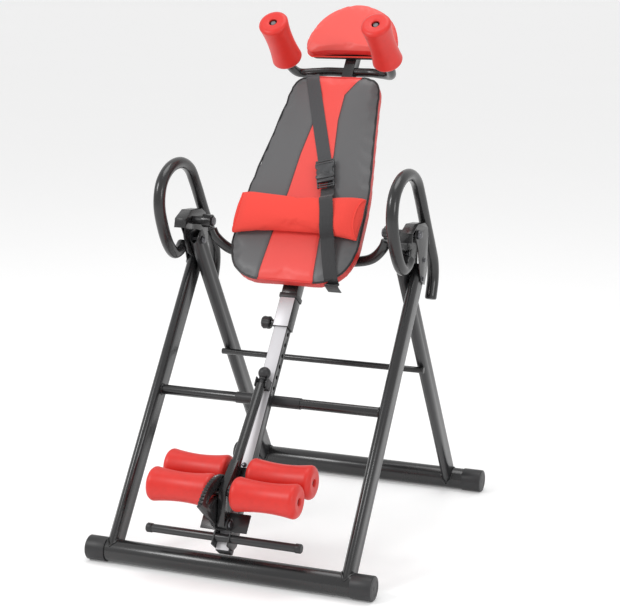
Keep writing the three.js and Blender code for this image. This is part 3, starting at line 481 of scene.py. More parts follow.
# ------------------------------------------------------------------ mesh making
def new_object(name: str, mesh: bpy.types.Mesh, matrix: Matrix) -> bpy.types.Object:
    """Puts a mesh in the scene at a matrix."""
    made = bpy.data.objects.new(name, mesh)
    made.matrix_world = matrix
    bpy.context.scene.collection.objects.link(made)
    return made


def solid(name: str, vertices: Sequence[Point], faces: Sequence[Sequence[int]],
          matrix: Matrix = Matrix.Identity(4)) -> bpy.types.Object:
    """Makes an object from vertices and faces, with its normals turned outward.

    Args:
        name: the object's name.
        vertices: places in the matrix's frame.
        faces: loops of vertex numbers.
        matrix: where the frame is.
    Returns:
        The new object.
    """
    mesh = bpy.data.meshes.new(name)
    mesh.from_pydata([tuple(v) for v in vertices], [], faces)
    work = bmesh.new()
    work.from_mesh(mesh)
    bmesh.ops.recalc_face_normals(work, faces=work.faces)
    work.to_mesh(mesh)
    work.free()
    return new_object(name, mesh, matrix)


def shade(thing: bpy.types.Object, degrees: float = 42.0) -> bpy.types.Object:
    """Shades a mesh smooth except over edges sharper than an angle."""
    thing.data.polygons.foreach_set("use_smooth", [True] * len(thing.data.polygons))
    thing.data.set_sharp_from_angle(angle=math.radians(degrees))
    return thing


def settle(thing: bpy.types.Object) -> bpy.types.Object:
    """Applies an object's modifiers to its mesh."""
    evaluated = thing.evaluated_get(bpy.context.evaluated_depsgraph_get())
    mesh = bpy.data.meshes.new_from_object(evaluated)
    thing.modifiers.clear()
    thing.data = mesh
    return thing


def subdivided(thing: bpy.types.Object, levels: int) -> bpy.types.Object:
    """Adds smooth subdivision and applies it."""
    smooth = thing.modifiers.new("smooth", "SUBSURF")
    smooth.levels = smooth.render_levels = levels
    return settle(thing)


def joined(name: str, parts: Sequence[bpy.types.Object]) -> bpy.types.Object:
    """Joins objects that share a frame into the first one, keeping their materials.

    Args:
        name: the name of the result.
        parts: objects whose matrices may differ.
    Returns:
        The joined object.
    """
    with bpy.context.temp_override(active_object=parts[0], selected_editable_objects=list(parts)):
        bpy.ops.object.join()
    parts[0].name = parts[0].data.name = name
    return parts[0]


def catmull(points: Sequence[Point], per_span: int = 8, closed: bool = False) -> list[Vector]:
    """A smooth centripetal curve through points.

    Args:
        points: the places that it passes.
        per_span: steps between two points.
        closed: whether the last joins the first.
    Returns:
        The places along the curve.
    """
    line = [Vector(p) for p in points]
    if closed:
        line = [line[-1], *line, line[0], line[1]]
    else:
        line = [2 * line[0] - line[1], *line, 2 * line[-1] - line[-2]]
    curve = []
    for a, b, c, d in zip(line, line[1:], line[2:], line[3:]):
        ta, tb, tc = ((q - p).length ** 0.5 or 1e-9 for p, q in ((a, b), (b, c), (c, d)))
        into = ((b - a) / ta - (c - a) / (ta + tb) + (c - b) / tb) * tb
        away = ((c - b) / tb - (d - b) / (tb + tc) + (d - c) / tc) * tb
        for step in range(per_span):
            s = step / per_span
            curve.append((2 * s**3 - 3 * s**2 + 1) * b + (s**3 - 2 * s**2 + s) * into
                         + (3 * s**2 - 2 * s**3) * c + (s**3 - s**2) * away)
    return curve if closed else [*curve, line[-2]]


def sweep(name: str, path: Sequence[Vector], section: Callable[[int], Sequence[tuple[float, float]]],
          matrix: Matrix = Matrix.Identity(4), closed: bool = False,
          across: Sequence[Vector] | None = None) -> bpy.types.Object:
    """Runs a section along a path.

    Args:
        name: the object's name.
        path: places along the middle.
        section: for a step's number, the section's loop as (across, outward) pairs.
        matrix: the path's frame.
        closed: whether the path is a loop.
        across: the direction of the section's width at each step, or None to carry one along.
    Returns:
        A closed mesh with a map: x round the section, y along in metres.
    """
    count = len(path)
    vertices, run, travelled = [], [], 0.0
    side = None
    for i, place in enumerate(path):
        ahead = path[(i + 1) % count] if closed or i + 1 < count else place
        behind = path[i - 1] if closed or i else place
        along = (ahead - behind).normalized()
        seed = across[i] if across else side if side is not None else along.orthogonal()
        side = (seed - along * seed.dot(along)).normalized()
        out = side.cross(along).normalized()
        travelled += (place - path[i - 1]).length if i else 0.0
        run.append(travelled)
        vertices.extend(place + side * a + out * b for a, b in section(i))
    ring = len(vertices) // count
    faces, spans = [], count if closed else count - 1
    for i in range(spans):
        here, there = i * ring, (i + 1) % count * ring
        faces.extend((here + k, here + (k + 1) % ring, there + (k + 1) % ring, there + k) for k in range(ring))
    if not closed:
        faces.append(tuple(range(ring)))
        faces.append(tuple(range(spans * ring, spans * ring + ring)))
    made = solid(name, vertices, faces, matrix)
    lay_map(made.data, ring, run)
    return made


def lay_map(mesh: bpy.types.Mesh, ring: int, run: Sequence[float]) -> None:
    """Maps a swept mesh: x from 0 to 1 over its broad side, y along it in metres."""
    layer = mesh.uv_layers.new(name="weave")
    for loop in mesh.loops:
        step, k = divmod(loop.vertex_index, ring)
        share = k / (ring / 2)
        layer.data[loop.index].uv = (share if share <= 1 else 2 - share, run[step])


def circle(radius: float, sides: int = 12) -> Callable[[int], list[tuple[float, float]]]:
    """A round section for sweep."""
    turn = 2 * math.pi / sides
    return lambda _: [(radius * math.cos(turn * k), radius * math.sin(turn * k)) for k in range(sides)]


def lathe(name: str, profile: Sequence[tuple[float, float]], matrix: Matrix, sides: int = 48) -> bpy.types.Object:
    """Turns a profile about the matrix's x axis.

    Args:
        name: the object's name.
        profile: (radius, x) pairs that start and end on the axis, or a loop of them round a bore.
        matrix: the axis's frame.
        sides: steps in a turn.
    Returns:
        The turned object.
    """
    bored = profile[0][0] > 0
    rings = list(profile) if bored else profile[1:-1]
    vertices = [] if bored else [Vector((profile[0][1], 0, 0)), Vector((profile[-1][1], 0, 0))]
    first, last = len(vertices), len(vertices) + (len(rings) - 1) * sides
    for radius, x in rings:
        vertices.extend(Vector((x, radius * math.cos(2 * math.pi * k / sides),
                                radius * math.sin(2 * math.pi * k / sides))) for k in range(sides))
    faces = []
    for k in range(sides):
        after = (k + 1) % sides
        if not bored:
            faces.append((0, first + k, first + after))
            faces.append((1, last + after, last + k))
        for here in range(len(rings) if bored else len(rings) - 1):
            near, far = first + here * sides, first + (here + 1) % len(rings) * sides
            faces.append((near + k, far + k, far + after, near + after))
    return solid(name, vertices, faces, matrix)


def tube(name: str, route: Sequence[Point], radius: float, matrix: Matrix, finish: Finish) -> bpy.types.Object:
    """A smoothly bent round tube.

    Args:
        name: the object's name.
        route: the places that its middle passes.
        radius: its outside radius.
        matrix: the route's frame.
        finish: its finish.
    Returns:
        The tube, closed at both ends.
    """
    made = rounded(sweep(name, catmull(route, 7), circle(radius, 24), matrix), 1.2 * MM, 2, 60)
    made.data.materials.append(finish.material())
    return made


def prism(name: str, outline: Sequence[tuple[float, float]], low: float, high: float, matrix: Matrix,
          bevel: float = 0.0) -> bpy.types.Object:
    """Gives an (x, z) outline thickness along y, with rounded edges.

    Args:
        name: the object's name.
        outline: the loop of corners.
        low: the nearer y.
        high: the farther y.
        matrix: the frame.
        bevel: the edges' rounding, or 0.
    Returns:
        The new object.
    """
    count = len(outline)
    vertices = [(x, y, z) for y in (low, high) for x, z in outline]
    faces = [tuple(range(count)), tuple(range(count, 2 * count))]
    faces += [(k, (k + 1) % count, count + (k + 1) % count, count + k) for k in range(count)]
    made = solid(name, vertices, faces, matrix)
    return rounded(made, bevel) if bevel else made


def rounded(thing: bpy.types.Object, width: float, segments: int = 2, degrees: float = 44.0) -> bpy.types.Object:
    """Rounds every edge sharper than an angle."""
    bevel = thing.modifiers.new("edge", "BEVEL")
    bevel.width = width
    bevel.segments = segments
    bevel.limit_method = "ANGLE"
    bevel.angle_limit = math.radians(degrees)
    return shade(settle(thing))


def inflate(thing: bpy.types.Object, voxel: float, pressure: float, reach: float) -> bpy.types.Object:
    """Fills a cover as its stuffing does: remeshes it, then lets cloth swell under pressure.

    Args:
        thing: the empty cover, a little smaller than the filled cushion.
        voxel: the remeshing size.
        pressure: the cloth's inner pressure.
        reach: how far a point may move.
    Returns:
        The filled cushion, with its modifiers applied.
    """
    remesh = thing.modifiers.new("voxel", "REMESH")
    remesh.mode = "VOXEL"
    remesh.voxel_size = voxel
    settle(thing)
    start = [v.co.copy() for v in thing.data.vertices]
    cloth = thing.modifiers.new("fill", "CLOTH")
    cloth.settings.use_pressure = True
    cloth.settings.uniform_pressure_force = pressure
    cloth.settings.effector_weights.gravity = 0
    cloth.settings.quality = 4
    cloth.settings.tension_stiffness = cloth.settings.compression_stiffness = 12
    cloth.settings.bending_stiffness = 1.2
    for step in range(1, 21):
        bpy.context.scene.frame_set(step)
    settle(thing)
    for vertex, home in zip(thing.data.vertices, start):
        moved = vertex.co - home
        if moved.length > reach:
            vertex.co = home + moved.normalized() * reach
    bpy.context.scene.frame_set(1)
    return thing


def reshape(thing: bpy.types.Object, move: Callable[[Vector], Vector]) -> bpy.types.Object:
    """Moves every vertex by a rule, in the object's own frame."""
    for vertex in thing.data.vertices:
        vertex.co = move(vertex.co)
    thing.data.update()
    return thing


def fitted(thing: bpy.types.Object, low: Vector, high: Vector) -> bpy.types.Object:
    """Scales a filled cushion so that its box is exactly this one."""
    points = [v.co for v in thing.data.vertices]
    own_low = Vector([min(p[i] for p in points) for i in range(3)])
    own_high = Vector([max(p[i] for p in points) for i in range(3)])

    def place(co: Vector) -> Vector:
        """The vertex's place in the wanted box."""
        share = [(co[i] - own_low[i]) / (own_high[i] - own_low[i]) for i in range(3)]
        return Vector([low[i] + share[i] * (high[i] - low[i]) for i in range(3)])

    return reshape(thing, place)


def surface_of(*things: bpy.types.Object) -> BVHTree:
    """A search tree over objects that share a frame, in that frame."""
    vertices, faces = [], []
    for thing in things:
        base = len(vertices)
        vertices.extend(v.co.copy() for v in thing.data.vertices)
        faces.extend([base + i for i in p.vertices] for p in thing.data.polygons)
    return BVHTree.FromPolygons(vertices, faces)


def dress(thing: bpy.types.Object, finish: Finish, body: Body, *nodes: str) -> bpy.types.Object:
    """Finishes a piece, makes it ride, hides the solids that it replaces and logs it.

    Args:
        thing: the piece.
        finish: its finish, for any mesh that has none yet.
        body: the body that it rides on.
        nodes: the solids that it replaces.
    Returns:
        The piece.
    """
    if not thing.data.materials:
        thing.data.materials.append(finish.material())
    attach(thing, body.value)
    if nodes:
        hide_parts(*nodes)
    log.info("piece %s on %s: %d faces", thing.name, body.value, len(thing.data.polygons))
    return thing


def edged(node: str, finish: Finish, body: Body, width: float = 0.8 * MM,
          extras: Sequence[bpy.types.Object] = ()) -> bpy.types.Object:
    """Copies a solid, rounds its edges and gives it its finish.

    Args:
        node: the solid's name.
        finish: its finish.
        body: the body that it rides on.
        width: the edges' rounding.
        extras: small parts joined to it, such as weld beads.
    Returns:
        The finished piece.
    """
    mesh = frame["nodes"][node].data.copy()
    mesh.materials.clear()
    work = bmesh.new()
    work.from_mesh(mesh)
    bmesh.ops.remove_doubles(work, verts=work.verts, dist=2e-6)
    bmesh.ops.dissolve_limit(work, angle_limit=math.radians(0.4), verts=work.verts, edges=work.edges)
    bmesh.ops.recalc_face_normals(work, faces=work.faces)
    work.to_mesh(mesh)
    work.free()
    if mesh.has_custom_normals:
        custom = mesh.attributes.get("custom_normal")
        if custom:
            mesh.attributes.remove(custom)
    piece = rounded(new_object(f"{node}_finished", mesh, Matrix.Identity(4)), width)
    piece.data.materials.append(finish.material())
    if extras:
        piece = joined(f"{node}_finished", [piece, *extras])
    return dress(piece, finish, body, node)


def turned_to(place: Vector, along: Vector) -> Matrix:
    """A frame at a place whose x axis points along a direction."""
    return Matrix.Translation(place) @ along.to_track_quat("X", "Z").to_matrix().to_4x4()


def bolt_head(name: str, place: Vector, along: Vector, radius: float, finish: Finish) -> bpy.types.Object:
    """A hexagon bolt head on a washer.

    Args:
        name: the object's name.
        place: the washer's seat.
        along: the way that the head points.
        radius: the hexagon's corner radius.
        finish: its finish.
    Returns:
        The head with its washer, in world coordinates.
    """
    there = turned_to(place, along)
    washer = lathe(f"{name}_washer", [(0, 0), (1.5 * radius, 0), (1.5 * radius, 0.0012), (1.2 * radius, 0.0016),
                                      (0, 0.0016)], there, 28)
    head = lathe(f"{name}_hex", [(0, 0.0012), (radius, 0.0012), (radius, 0.0012 + 0.62 * radius),
                                 (0.82 * radius, 0.0012 + 0.74 * radius), (0, 0.0012 + 0.76 * radius)], there, 6)
    for part in (washer, head):
        rounded(part, 0.0003, 1, 25.0)
        part.data.materials.append(finish.material())
    return joined(name, [washer, head])


def weld_ring(name: str, path: Sequence[Vector], radius: float, seed: int) -> bpy.types.Object:
    """A rippled weld bead round a closed path, under the coating."""
    draw = random.Random(seed)
    swell = [radius * (0.85 + 0.3 * draw.random()) for _ in path]

    def section(i: int) -> list[tuple[float, float]]:
        """A small circle whose size ripples."""
        return circle(swell[i], 8)(i)

    bead = shade(sweep(name, path, section, closed=True))
    bead.data.materials.append(COAT.material())
    return bead


# ------------------------------------------------------------------ the bed's frame
class BedFrame:
    """The bed's own frame at rest, worked out from the joints."""

    def __init__(self) -> None:
        """Reads the tilt axis's place and the foot tube's direction."""
        joints = {joint["name"]: joint for joint in frame["record"]["behaviour"]["joints"]}
        origin = Vector(joints["table_tilt"]["pos_m"])
        up = Vector(joints["boom_adjust"]["axis"]).normalized()
        across = Vector((1, 0, 0))
        back = up.cross(across)
        self.matrix = Matrix.Translation(origin) @ Matrix((across, back, up)).transposed().to_4x4()
        self.inverse = self.matrix.inverted()
        self.pivot = origin

    def box(self, node: str) -> tuple[Vector, Vector]:
        """A solid's lowest and highest corners in this frame."""
        points = [self.inverse @ v.co for v in frame["nodes"][node].data.vertices]
        return (Vector([min(p[i] for p in points) for i in range(3)]),
                Vector([max(p[i] for p in points) for i in range(3)]))

    def point(self, x: float, y: float, z: float) -> Vector:
        """A place given in this frame, in the row frame."""
        return self.matrix @ Vector((x, y, z))


BED = BedFrame()


# ------------------------------------------------------------------ stand and rear frame
@dataclass
class Stand:
    """The A-frame: base tubes, legs, cross bars, pivot brackets and loop handles."""

    weld: float = 2.4 * MM
    tube_edge: float = 1.2 * MM
    bracket_bolts: tuple[tuple[float, float], ...] = ((0.60, 0.12), (0.68, 0.40))
    handle_radius: float = 15 * MM
    handle_route: tuple[tuple[float, float], ...] = (
        (-26, -58), (-46, -71), (-74, -74), (-104, -52), (-133, -6), (-153, 60), (-138, 112), (-92, 144),
        (-30, 150), (19, 129), (49, 90), (94, 15), (136, -52), (160, -96), (163, -138), (147, -186))

    def leg_weld(self, leg: str, base: str, seed: int) -> bpy.types.Object:
        """The bead where a leg stands on its base tube.

        Args:
            leg: the leg's solid.
            base: the base tube's solid.
            seed: for the bead's ripples.
        Returns:
            The bead.
        """
        low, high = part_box(base)
        centre_y, centre_z = (low.y + high.y) / 2, (low.z + high.z) / 2
        radius = (high.z - low.z) / 2
        leg_low, leg_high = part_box(leg)
        toward = self.leg_axis(leg, Vector((0, centre_y, centre_z)))
        aside = Vector((0, -toward.z, toward.y))
        half_x, half_b = (leg_high.x - leg_low.x) / 2, 0.027
        middle = Vector(((leg_low.x + leg_high.x) / 2, centre_y, centre_z))
        path = []
        for k in range(48):
            angle = 2 * math.pi * k / 48
            a = (half_x + 0.001) * math.cos(angle)
            b = (half_b - half_x) * (1 if math.sin(angle) > 0 else -1) + (half_x + 0.001) * math.sin(angle)
            rise = math.sqrt(max(radius**2 - b**2, 0.0)) + 0.0008
            path.append(middle + Vector((a, 0, 0)) + aside * b + toward * rise)
        return weld_ring(f"{leg}_weld", path, self.weld, seed)

    @staticmethod
    def leg_axis(leg: str, foot: Vector) -> Vector:
        """The leg's direction in the middle plane.

        Args:
            leg: the leg's solid.
            foot: its base tube's centre.
        Returns:
            The unit vector from the foot to the leg's upper end.
        """
        points = [v.co for v in frame["nodes"][leg].data.vertices]
        top = max(co.z for co in points)
        upper = [co for co in points if co.z > 0.8 * top]
        middle = sum((Vector((0, co.y, co.z)) for co in upper), Vector()) / len(upper)
        return Vector((0, middle.y - foot.y, middle.z - foot.z)).normalized()

    def bar_weld(self, bar: str, side: Side, seed: int) -> bpy.types.Object:
        """The bead where a cross bar's end meets a leg."""
        low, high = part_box(bar)
        radius = (high.z - low.z) / 2 + 0.0006
        x = (high.x if side is Side.RIGHT else low.x) - side.value * 0.0006
        centre = Vector((x, (low.y + high.y) / 2, (low.z + high.z) / 2))
        path = [centre + Vector((0, radius * math.cos(math.pi * k / 12), radius * math.sin(math.pi * k / 12)))
                for k in range(24)]
        return weld_ring(f"{bar}_weld_{side.word}", path, 0.8 * self.weld, seed)

    def base(self, end: str, body: Body) -> None:
        """A base tube and its two end caps."""
        edged(f"{end}_base_tube", COAT, body)
        for side in Side:
            edged(f"{end}_cap_{side.word}", PLASTIC, body, 1.6 * MM, [self.cap_ring(end, side)])

    @staticmethod
    def cap_ring(end: str, side: Side) -> bpy.types.Object:
        """The raised ring and boss on a cap's end face."""
        low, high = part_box(f"{end}_cap_{side.word}")
        face = high.x if side is Side.RIGHT else low.x
        centre = Vector((face - side.value * 0.0006, (low.y + high.y) / 2, high.z - 0.030))
        ring = lathe(f"{end}_cap_ring_{side.word}",
                     [(0, 0), (0.0225, 0), (0.0225, 0.0006), (0.0215, 0.0012), (0.0195, 0.0012), (0.0185, 0.0004),
                      (0.006, 0.0004), (0.0045, 0.0012), (0, 0.0013)],
                     turned_to(centre, Vector((side.value, 0, 0))), 48)
        shade(ring)
        ring.data.materials.append(PLASTIC.material())
        return ring

    def bracket(self, side: Side) -> bpy.types.Object:
        """A pivot bracket with its two assembly bolts."""
        node = f"pivot_bracket_{side.word}"
        low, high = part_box(node)
        face = high.x if side is Side.RIGHT else low.x
        outward = Vector((side.value, 0, 0))
        bolts = []
        for i, (along, up) in enumerate(self.bracket_bolts):
            place = Vector((face, low.y + along * (high.y - low.y), low.z + up * (high.z - low.z)))
            bolts.append(bolt_head(f"{node}_bolt_{i}", place, outward, BOLT_RADIUS, ZINC))
        return edged(node, COAT, Body.STAND, 0.7 * MM, bolts)

    def handle(self, side: Side) -> None:
        """A loop handle with its stay to the bracket and a plug in its lower end."""
        node = f"grab_handle_{side.word}"
        low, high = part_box(node)
        there = Matrix.Translation(((low.x + high.x) / 2, BED.pivot.y, BED.pivot.z))
        route = [(0.0, y * MM, z * MM) for y, z in self.handle_route]
        loop = tube(f"{node}_loop", route, self.handle_radius, there, COAT)
        front, back, below, above = (size * MM for size in (88, 112, -23, -9))
        outline = [(-9 * MM, below), (9 * MM, below), (9 * MM, above), (-9 * MM, above)]
        stay = prism(f"{node}_stay", outline, front, back, there, 2 * MM)
        stay.data.materials.append(COAT.material())
        end, before = Vector(route[-1]), Vector(route[-2])
        profile = [(0, -1), (14.2, -1), (14.2, 1.2), (12.6, 2.8), (0, 3.2)]
        plug = lathe(f"{node}_plug", [(radius * MM, x * MM) for radius, x in profile],
                     there @ turned_to(end, end - before), 36)
        shade(plug).data.materials.append(PLASTIC.material())
        dress(joined(f"{node}_finished", [loop, stay, plug]), COAT, Body.STAND, node)

    def build(self) -> None:
        """Makes the stand and the folding rear frame."""
        self.base("front", Body.STAND)
        self.base("rear", Body.REAR)
        seed = 11
        for side in Side:
            front, rear = f"front_leg_{side.word}", f"rear_leg_{side.word}"
            edged(front, COAT, Body.STAND, self.tube_edge, [self.leg_weld(front, "front_base_tube", seed)])
            edged(rear, FRAME_COAT, Body.REAR, self.tube_edge, [self.leg_weld(rear, "rear_base_tube", seed + 1)])
            self.bracket(side)
            self.handle(side)
            edged(f"pivot_pin_{side.word}", ZINC, Body.STAND, 0.5 * MM)
            edged(f"fold_hinge_bolt_{side.word}", ZINC, Body.STAND, 0.5 * MM)
            seed += 2
        edged("front_cross_bar", COAT, Body.STAND, self.tube_edge,
              [self.bar_weld("front_cross_bar", side, 31 + side.value) for side in Side])
        edged("cross_bar_bumper", PLASTIC, Body.STAND, 1.0 * MM)
        edged("rear_stop_bar", COAT, Body.REAR, 0.6 * MM)


# ------------------------------------------------------------------ cushions
@dataclass
class BackCushion:
    """The padded back rest, its piping, its panel stitching and its board."""

    foot: float = 68 * MM
    shoulder: float = 127 * MM
    waist_drop: float = 3 * MM
    waist_up: float = 98 * MM
    slack: float = 6 * MM
    piping: float = 2.6 * MM
    groove: float = 2.0 * MM
    stitch_pitch: float = 6.0 * MM
    stitch_length: float = 3.6 * MM
    stitch_row: float = 3.2 * MM
    first_stitch: float = 0.016
    unstitched: float = 0.03
    widths: tuple[tuple[float, float], ...] = (
        (-147, 75), (-20, 65), (105, 52), (215, 46), (317, 33), (395, 33), (453, 68))

    def __post_init__(self) -> None:
        """Takes the cushion's box from its solid."""
        self.low, self.high = BED.box("back_pad")
        self.hip = self.high.x

    def outline(self, inset: float, steps: int = 9) -> list[tuple[float, float]]:
        """The cushion's outline as (x, z), anticlockwise from the lower right.

        Args:
            inset: how far inside the solid's own outline.
            steps: points on each curved stretch.
        Returns:
            The loop of points.
        """
        hip, top = self.hip - inset, self.shoulder - inset
        low, high = self.low.z + inset, self.high.z - inset
        waist, foot = hip - self.waist_drop, self.foot - inset / 2
        curves = [
            ((foot, low), (hip - 0.034, low), (hip - 0.001, low + 0.046), (hip, low + 0.112)),
            ((hip, low + 0.112), (hip, 0.030), (waist + 0.001, 0.070), (waist, self.waist_up)),
            ((waist, self.waist_up), (waist, self.waist_up), (top, high - 0.062), (top, high - 0.062)),
            ((top, high - 0.062), (top - 0.003, high - 0.022), (top - 0.020, high), (0.064 - inset / 2, high)),
        ]
        right = [self.bezier(curve, s / steps) for curve in curves for s in range(steps)]
        right.append(curves[-1][3])
        return right + [(-x, z) for x, z in reversed(right)]

    @staticmethod
    def bezier(curve: Sequence[tuple[float, float]], s: float) -> tuple[float, float]:
        """A place on a cubic curve."""
        weights = ((1 - s) ** 3, 3 * s * (1 - s) ** 2, 3 * s * s * (1 - s), s**3)
        return tuple(sum(w * p[i] for w, p in zip(weights, curve)) for i in range(2))

    def half_width(self, z: float) -> float:
        """Half the centre panel's width at a height."""
        stops = [(a * MM, b * MM) for a, b in self.widths]
        for (z0, w0), (z1, w1) in zip(stops, stops[1:]):
            if z <= z1:
                return w0 + (w1 - w0) * max(0.0, z - z0) / (z1 - z0)
        return stops[-1][1]

    def cover(self) -> PanelVinyl:
        """The cover's finish, with the centre panel's widths as ramp stops."""
        low, high = self.widths[0][0], self.widths[-1][0]
        widest = max(width for _, width in self.widths)
        stops = tuple(((z - low) / (high - low), width / widest) for z, width in self.widths)
        return PanelVinyl("panel_vinyl", "grey_vinyl", (0.098, 0.098, 0.101), bottom=low * MM, top=high * MM,
                          edge=self.low.y + 0.0085, widths=stops, widest=widest * MM,
                          centre=(0.74, 0.062, 0.050), band=(0.60, 0.022, 0.016))

    def pad(self) -> bpy.types.Object:
        """The filled cushion with its sewn grooves."""
        empty = prism("back_cushion", self.outline(self.slack), self.low.y + self.slack, self.high.y - 2 * MM,
                      BED.matrix)
        pad = inflate(empty, 6 * MM, 4.0, 8 * MM)
        fitted(pad, self.low + Vector((0, -0.002, 0)), self.high)
        subdivided(pad, 1)

        def sew(co: Vector) -> Vector:
            """Pulls the face in along the panel seams and flattens the back."""
            if co.y > self.low.y + 0.012:
                return Vector((co.x, min(co.y, self.high.y), co.z))
            off = abs(abs(co.x) - self.half_width(co.z))
            return co + Vector((0, self.groove * math.exp(-((off / 0.0045) ** 2)), 0))

        reshape(pad, sew)
        shade(pad, 60)
        return dress(pad, self.cover(), Body.BED, "back_pad")

    def welt(self, pad: bpy.types.Object) -> None:
        """The black piping round the face, laid on the filled cushion."""
        tree = surface_of(pad)
        path = []
        for x, z in self.outline(1.5 * MM, 12):
            hit = tree.find_nearest(Vector((x, self.low.y + 0.006, z)))
            path.append(hit[0] + hit[1] * 0.4 * self.piping)
        cord = shade(sweep("back_cushion_piping", path, circle(self.piping, 8), BED.matrix, closed=True))
        cover = self.cover()
        dress(cord, replace(cover, name="panel_piping", tone=PIPING.tone, centre=cover.band, edge=1.0), Body.BED)

    def stitches(self, pad: bpy.types.Object) -> None:
        """A row of stitches outside each panel seam.

        Args:
            pad: the filled cushion.
        """
        tree = surface_of(pad)
        vertices, faces = [], []
        count = int((self.high.z - self.low.z - self.unstitched) / self.stitch_pitch)
        for sign in (-1, 1):
            for i in range(count):
                z = self.low.z + self.first_stitch + i * self.stitch_pitch
                ends = []
                for end in (z, z + self.stitch_length):
                    x = sign * (self.half_width(end) + self.stitch_row)
                    hit = tree.ray_cast(Vector((x, self.low.y - 0.05, end)), Vector((0, 1, 0)))
                    if hit[0]:
                        ends.append(hit[0])
                if len(ends) == 2:
                    self.stitch(vertices, faces, *ends)
        dress(shade(solid("back_cushion_stitches", vertices, faces, BED.matrix)), THREAD, Body.BED)

    @staticmethod
    def stitch(vertices: list[Vector], faces: list[tuple[int, ...]], start: Vector, end: Vector) -> None:
        """Adds one stitch, a low arch of thread between two points."""
        base = len(vertices)
        half, rise = 0.45 * MM, 0.5 * MM
        for share, lift in ((0, -0.2 * MM), (0.25, rise), (0.75, rise), (1, -0.2 * MM)):
            middle = start.lerp(end, share)
            vertices.extend(middle + Vector((a, -lift - b, 0)) for a, b in
                            ((-half, -half), (half, -half), (half, 0), (0, half * 0.6), (-half, 0)))
        for ring in range(3):
            here = base + 5 * ring
            faces.extend((here + k, here + (k + 1) % 5, here + 5 + (k + 1) % 5, here + 5 + k) for k in range(5))
        faces.append(tuple(base + k for k in range(5)))
        faces.append(tuple(base + 15 + k for k in range(5)))

    def build(self) -> bpy.types.Object:
        """Makes the cushion and its board."""
        pad = self.pad()
        self.welt(pad)
        self.stitches(pad)
        edged("back_board", BOARD, Body.BED, 1.5 * MM)
        return pad


@dataclass
class LumbarPillow:
    """The half-round pillow across the back rest, with piped ends."""

    slack: float = 8 * MM
    bury: float = 1.5 * MM
    taper: float = 45 * MM
    piping: float = 2.2 * MM

    def __post_init__(self) -> None:
        """Takes the pillow's box from its solid."""
        self.low, self.high = BED.box("lumbar_pillow")

    def profile(self, inset: float, steps: int = 14) -> list[tuple[float, float]]:
        """The pillow's section as (y, z): flat behind, bulging in front.

        Args:
            inset: how far inside the solid's outline.
            steps: points on the bulge.
        Returns:
            The loop of points.
        """
        back = self.high.y - inset * 0.3
        low, high = self.low.z + inset, self.high.z - inset
        middle, half = (low + high) / 2, (high - low) / 2
        depth = back - self.low.y - inset
        loop = []
        for i in range(steps + 1):
            angle = math.pi * i / steps
            lean = 0.10 * half * math.sin(angle)
            loop.append((back - depth * math.sin(angle) ** 0.75, middle - half * math.cos(angle) - lean))
        return loop

    def build(self, strap_x: Callable[[float], float]) -> bpy.types.Object:
        """Makes the pillow, pressed in where the strap crosses it.

        Args:
            strap_x: the strap's x at a height.
        Returns:
            The pillow.
        """
        profile = self.profile(self.slack)
        count, ends = len(profile), (self.low.x + self.slack, self.high.x - self.slack)
        vertices = [(x, y, z) for x in ends for y, z in profile]
        faces = [tuple(range(count)), tuple(range(count, 2 * count))]
        faces += [(k, (k + 1) % count, count + (k + 1) % count, count + k) for k in range(count)]
        pillow = inflate(solid("lumbar_cushion", vertices, faces, BED.matrix), 5 * MM, 5.0, 11 * MM)
        fitted(pillow, self.low, self.high + Vector((0, self.bury, 0)))
        subdivided(pillow, 1)

        def press(co: Vector) -> Vector:
            """Dents the front under the strap and draws the ends in at their corners."""
            off = (co.x - strap_x(co.z)) / 0.024
            front = min(1.0, max(0.0, (self.high.y - co.y) / 0.03))
            end = max(0.0, (abs(co.x) - self.high.x + self.taper) / self.taper)
            thin = (self.high.y - co.y) * 0.5 * end * end
            return co + Vector((0, thin + front * 0.006 * math.exp(-off * off), 0))

        reshape(pillow, press)
        shade(pillow, 60)
        dress(pillow, RED_VINYL, Body.BED, "lumbar_pillow")
        self.welts(pillow)
        return pillow

    def welts(self, pillow: bpy.types.Object) -> None:
        """Piping round each end, laid on the filled pillow."""
        tree = surface_of(pillow)
        for side in Side:
            path = []
            for y, z in self.profile(2 * MM, 22):
                hit = tree.find_nearest(Vector((side.value * (self.high.x - 3 * MM), y, z)))
                path.append(hit[0] + hit[1] * 0.2 * self.piping)
            cord = shade(sweep(f"lumbar_cushion_piping_{side.word}", catmull(path, 2, closed=True),
                               circle(self.piping, 8), BED.matrix, closed=True))
            dress(cord, RED_VINYL, Body.BED)


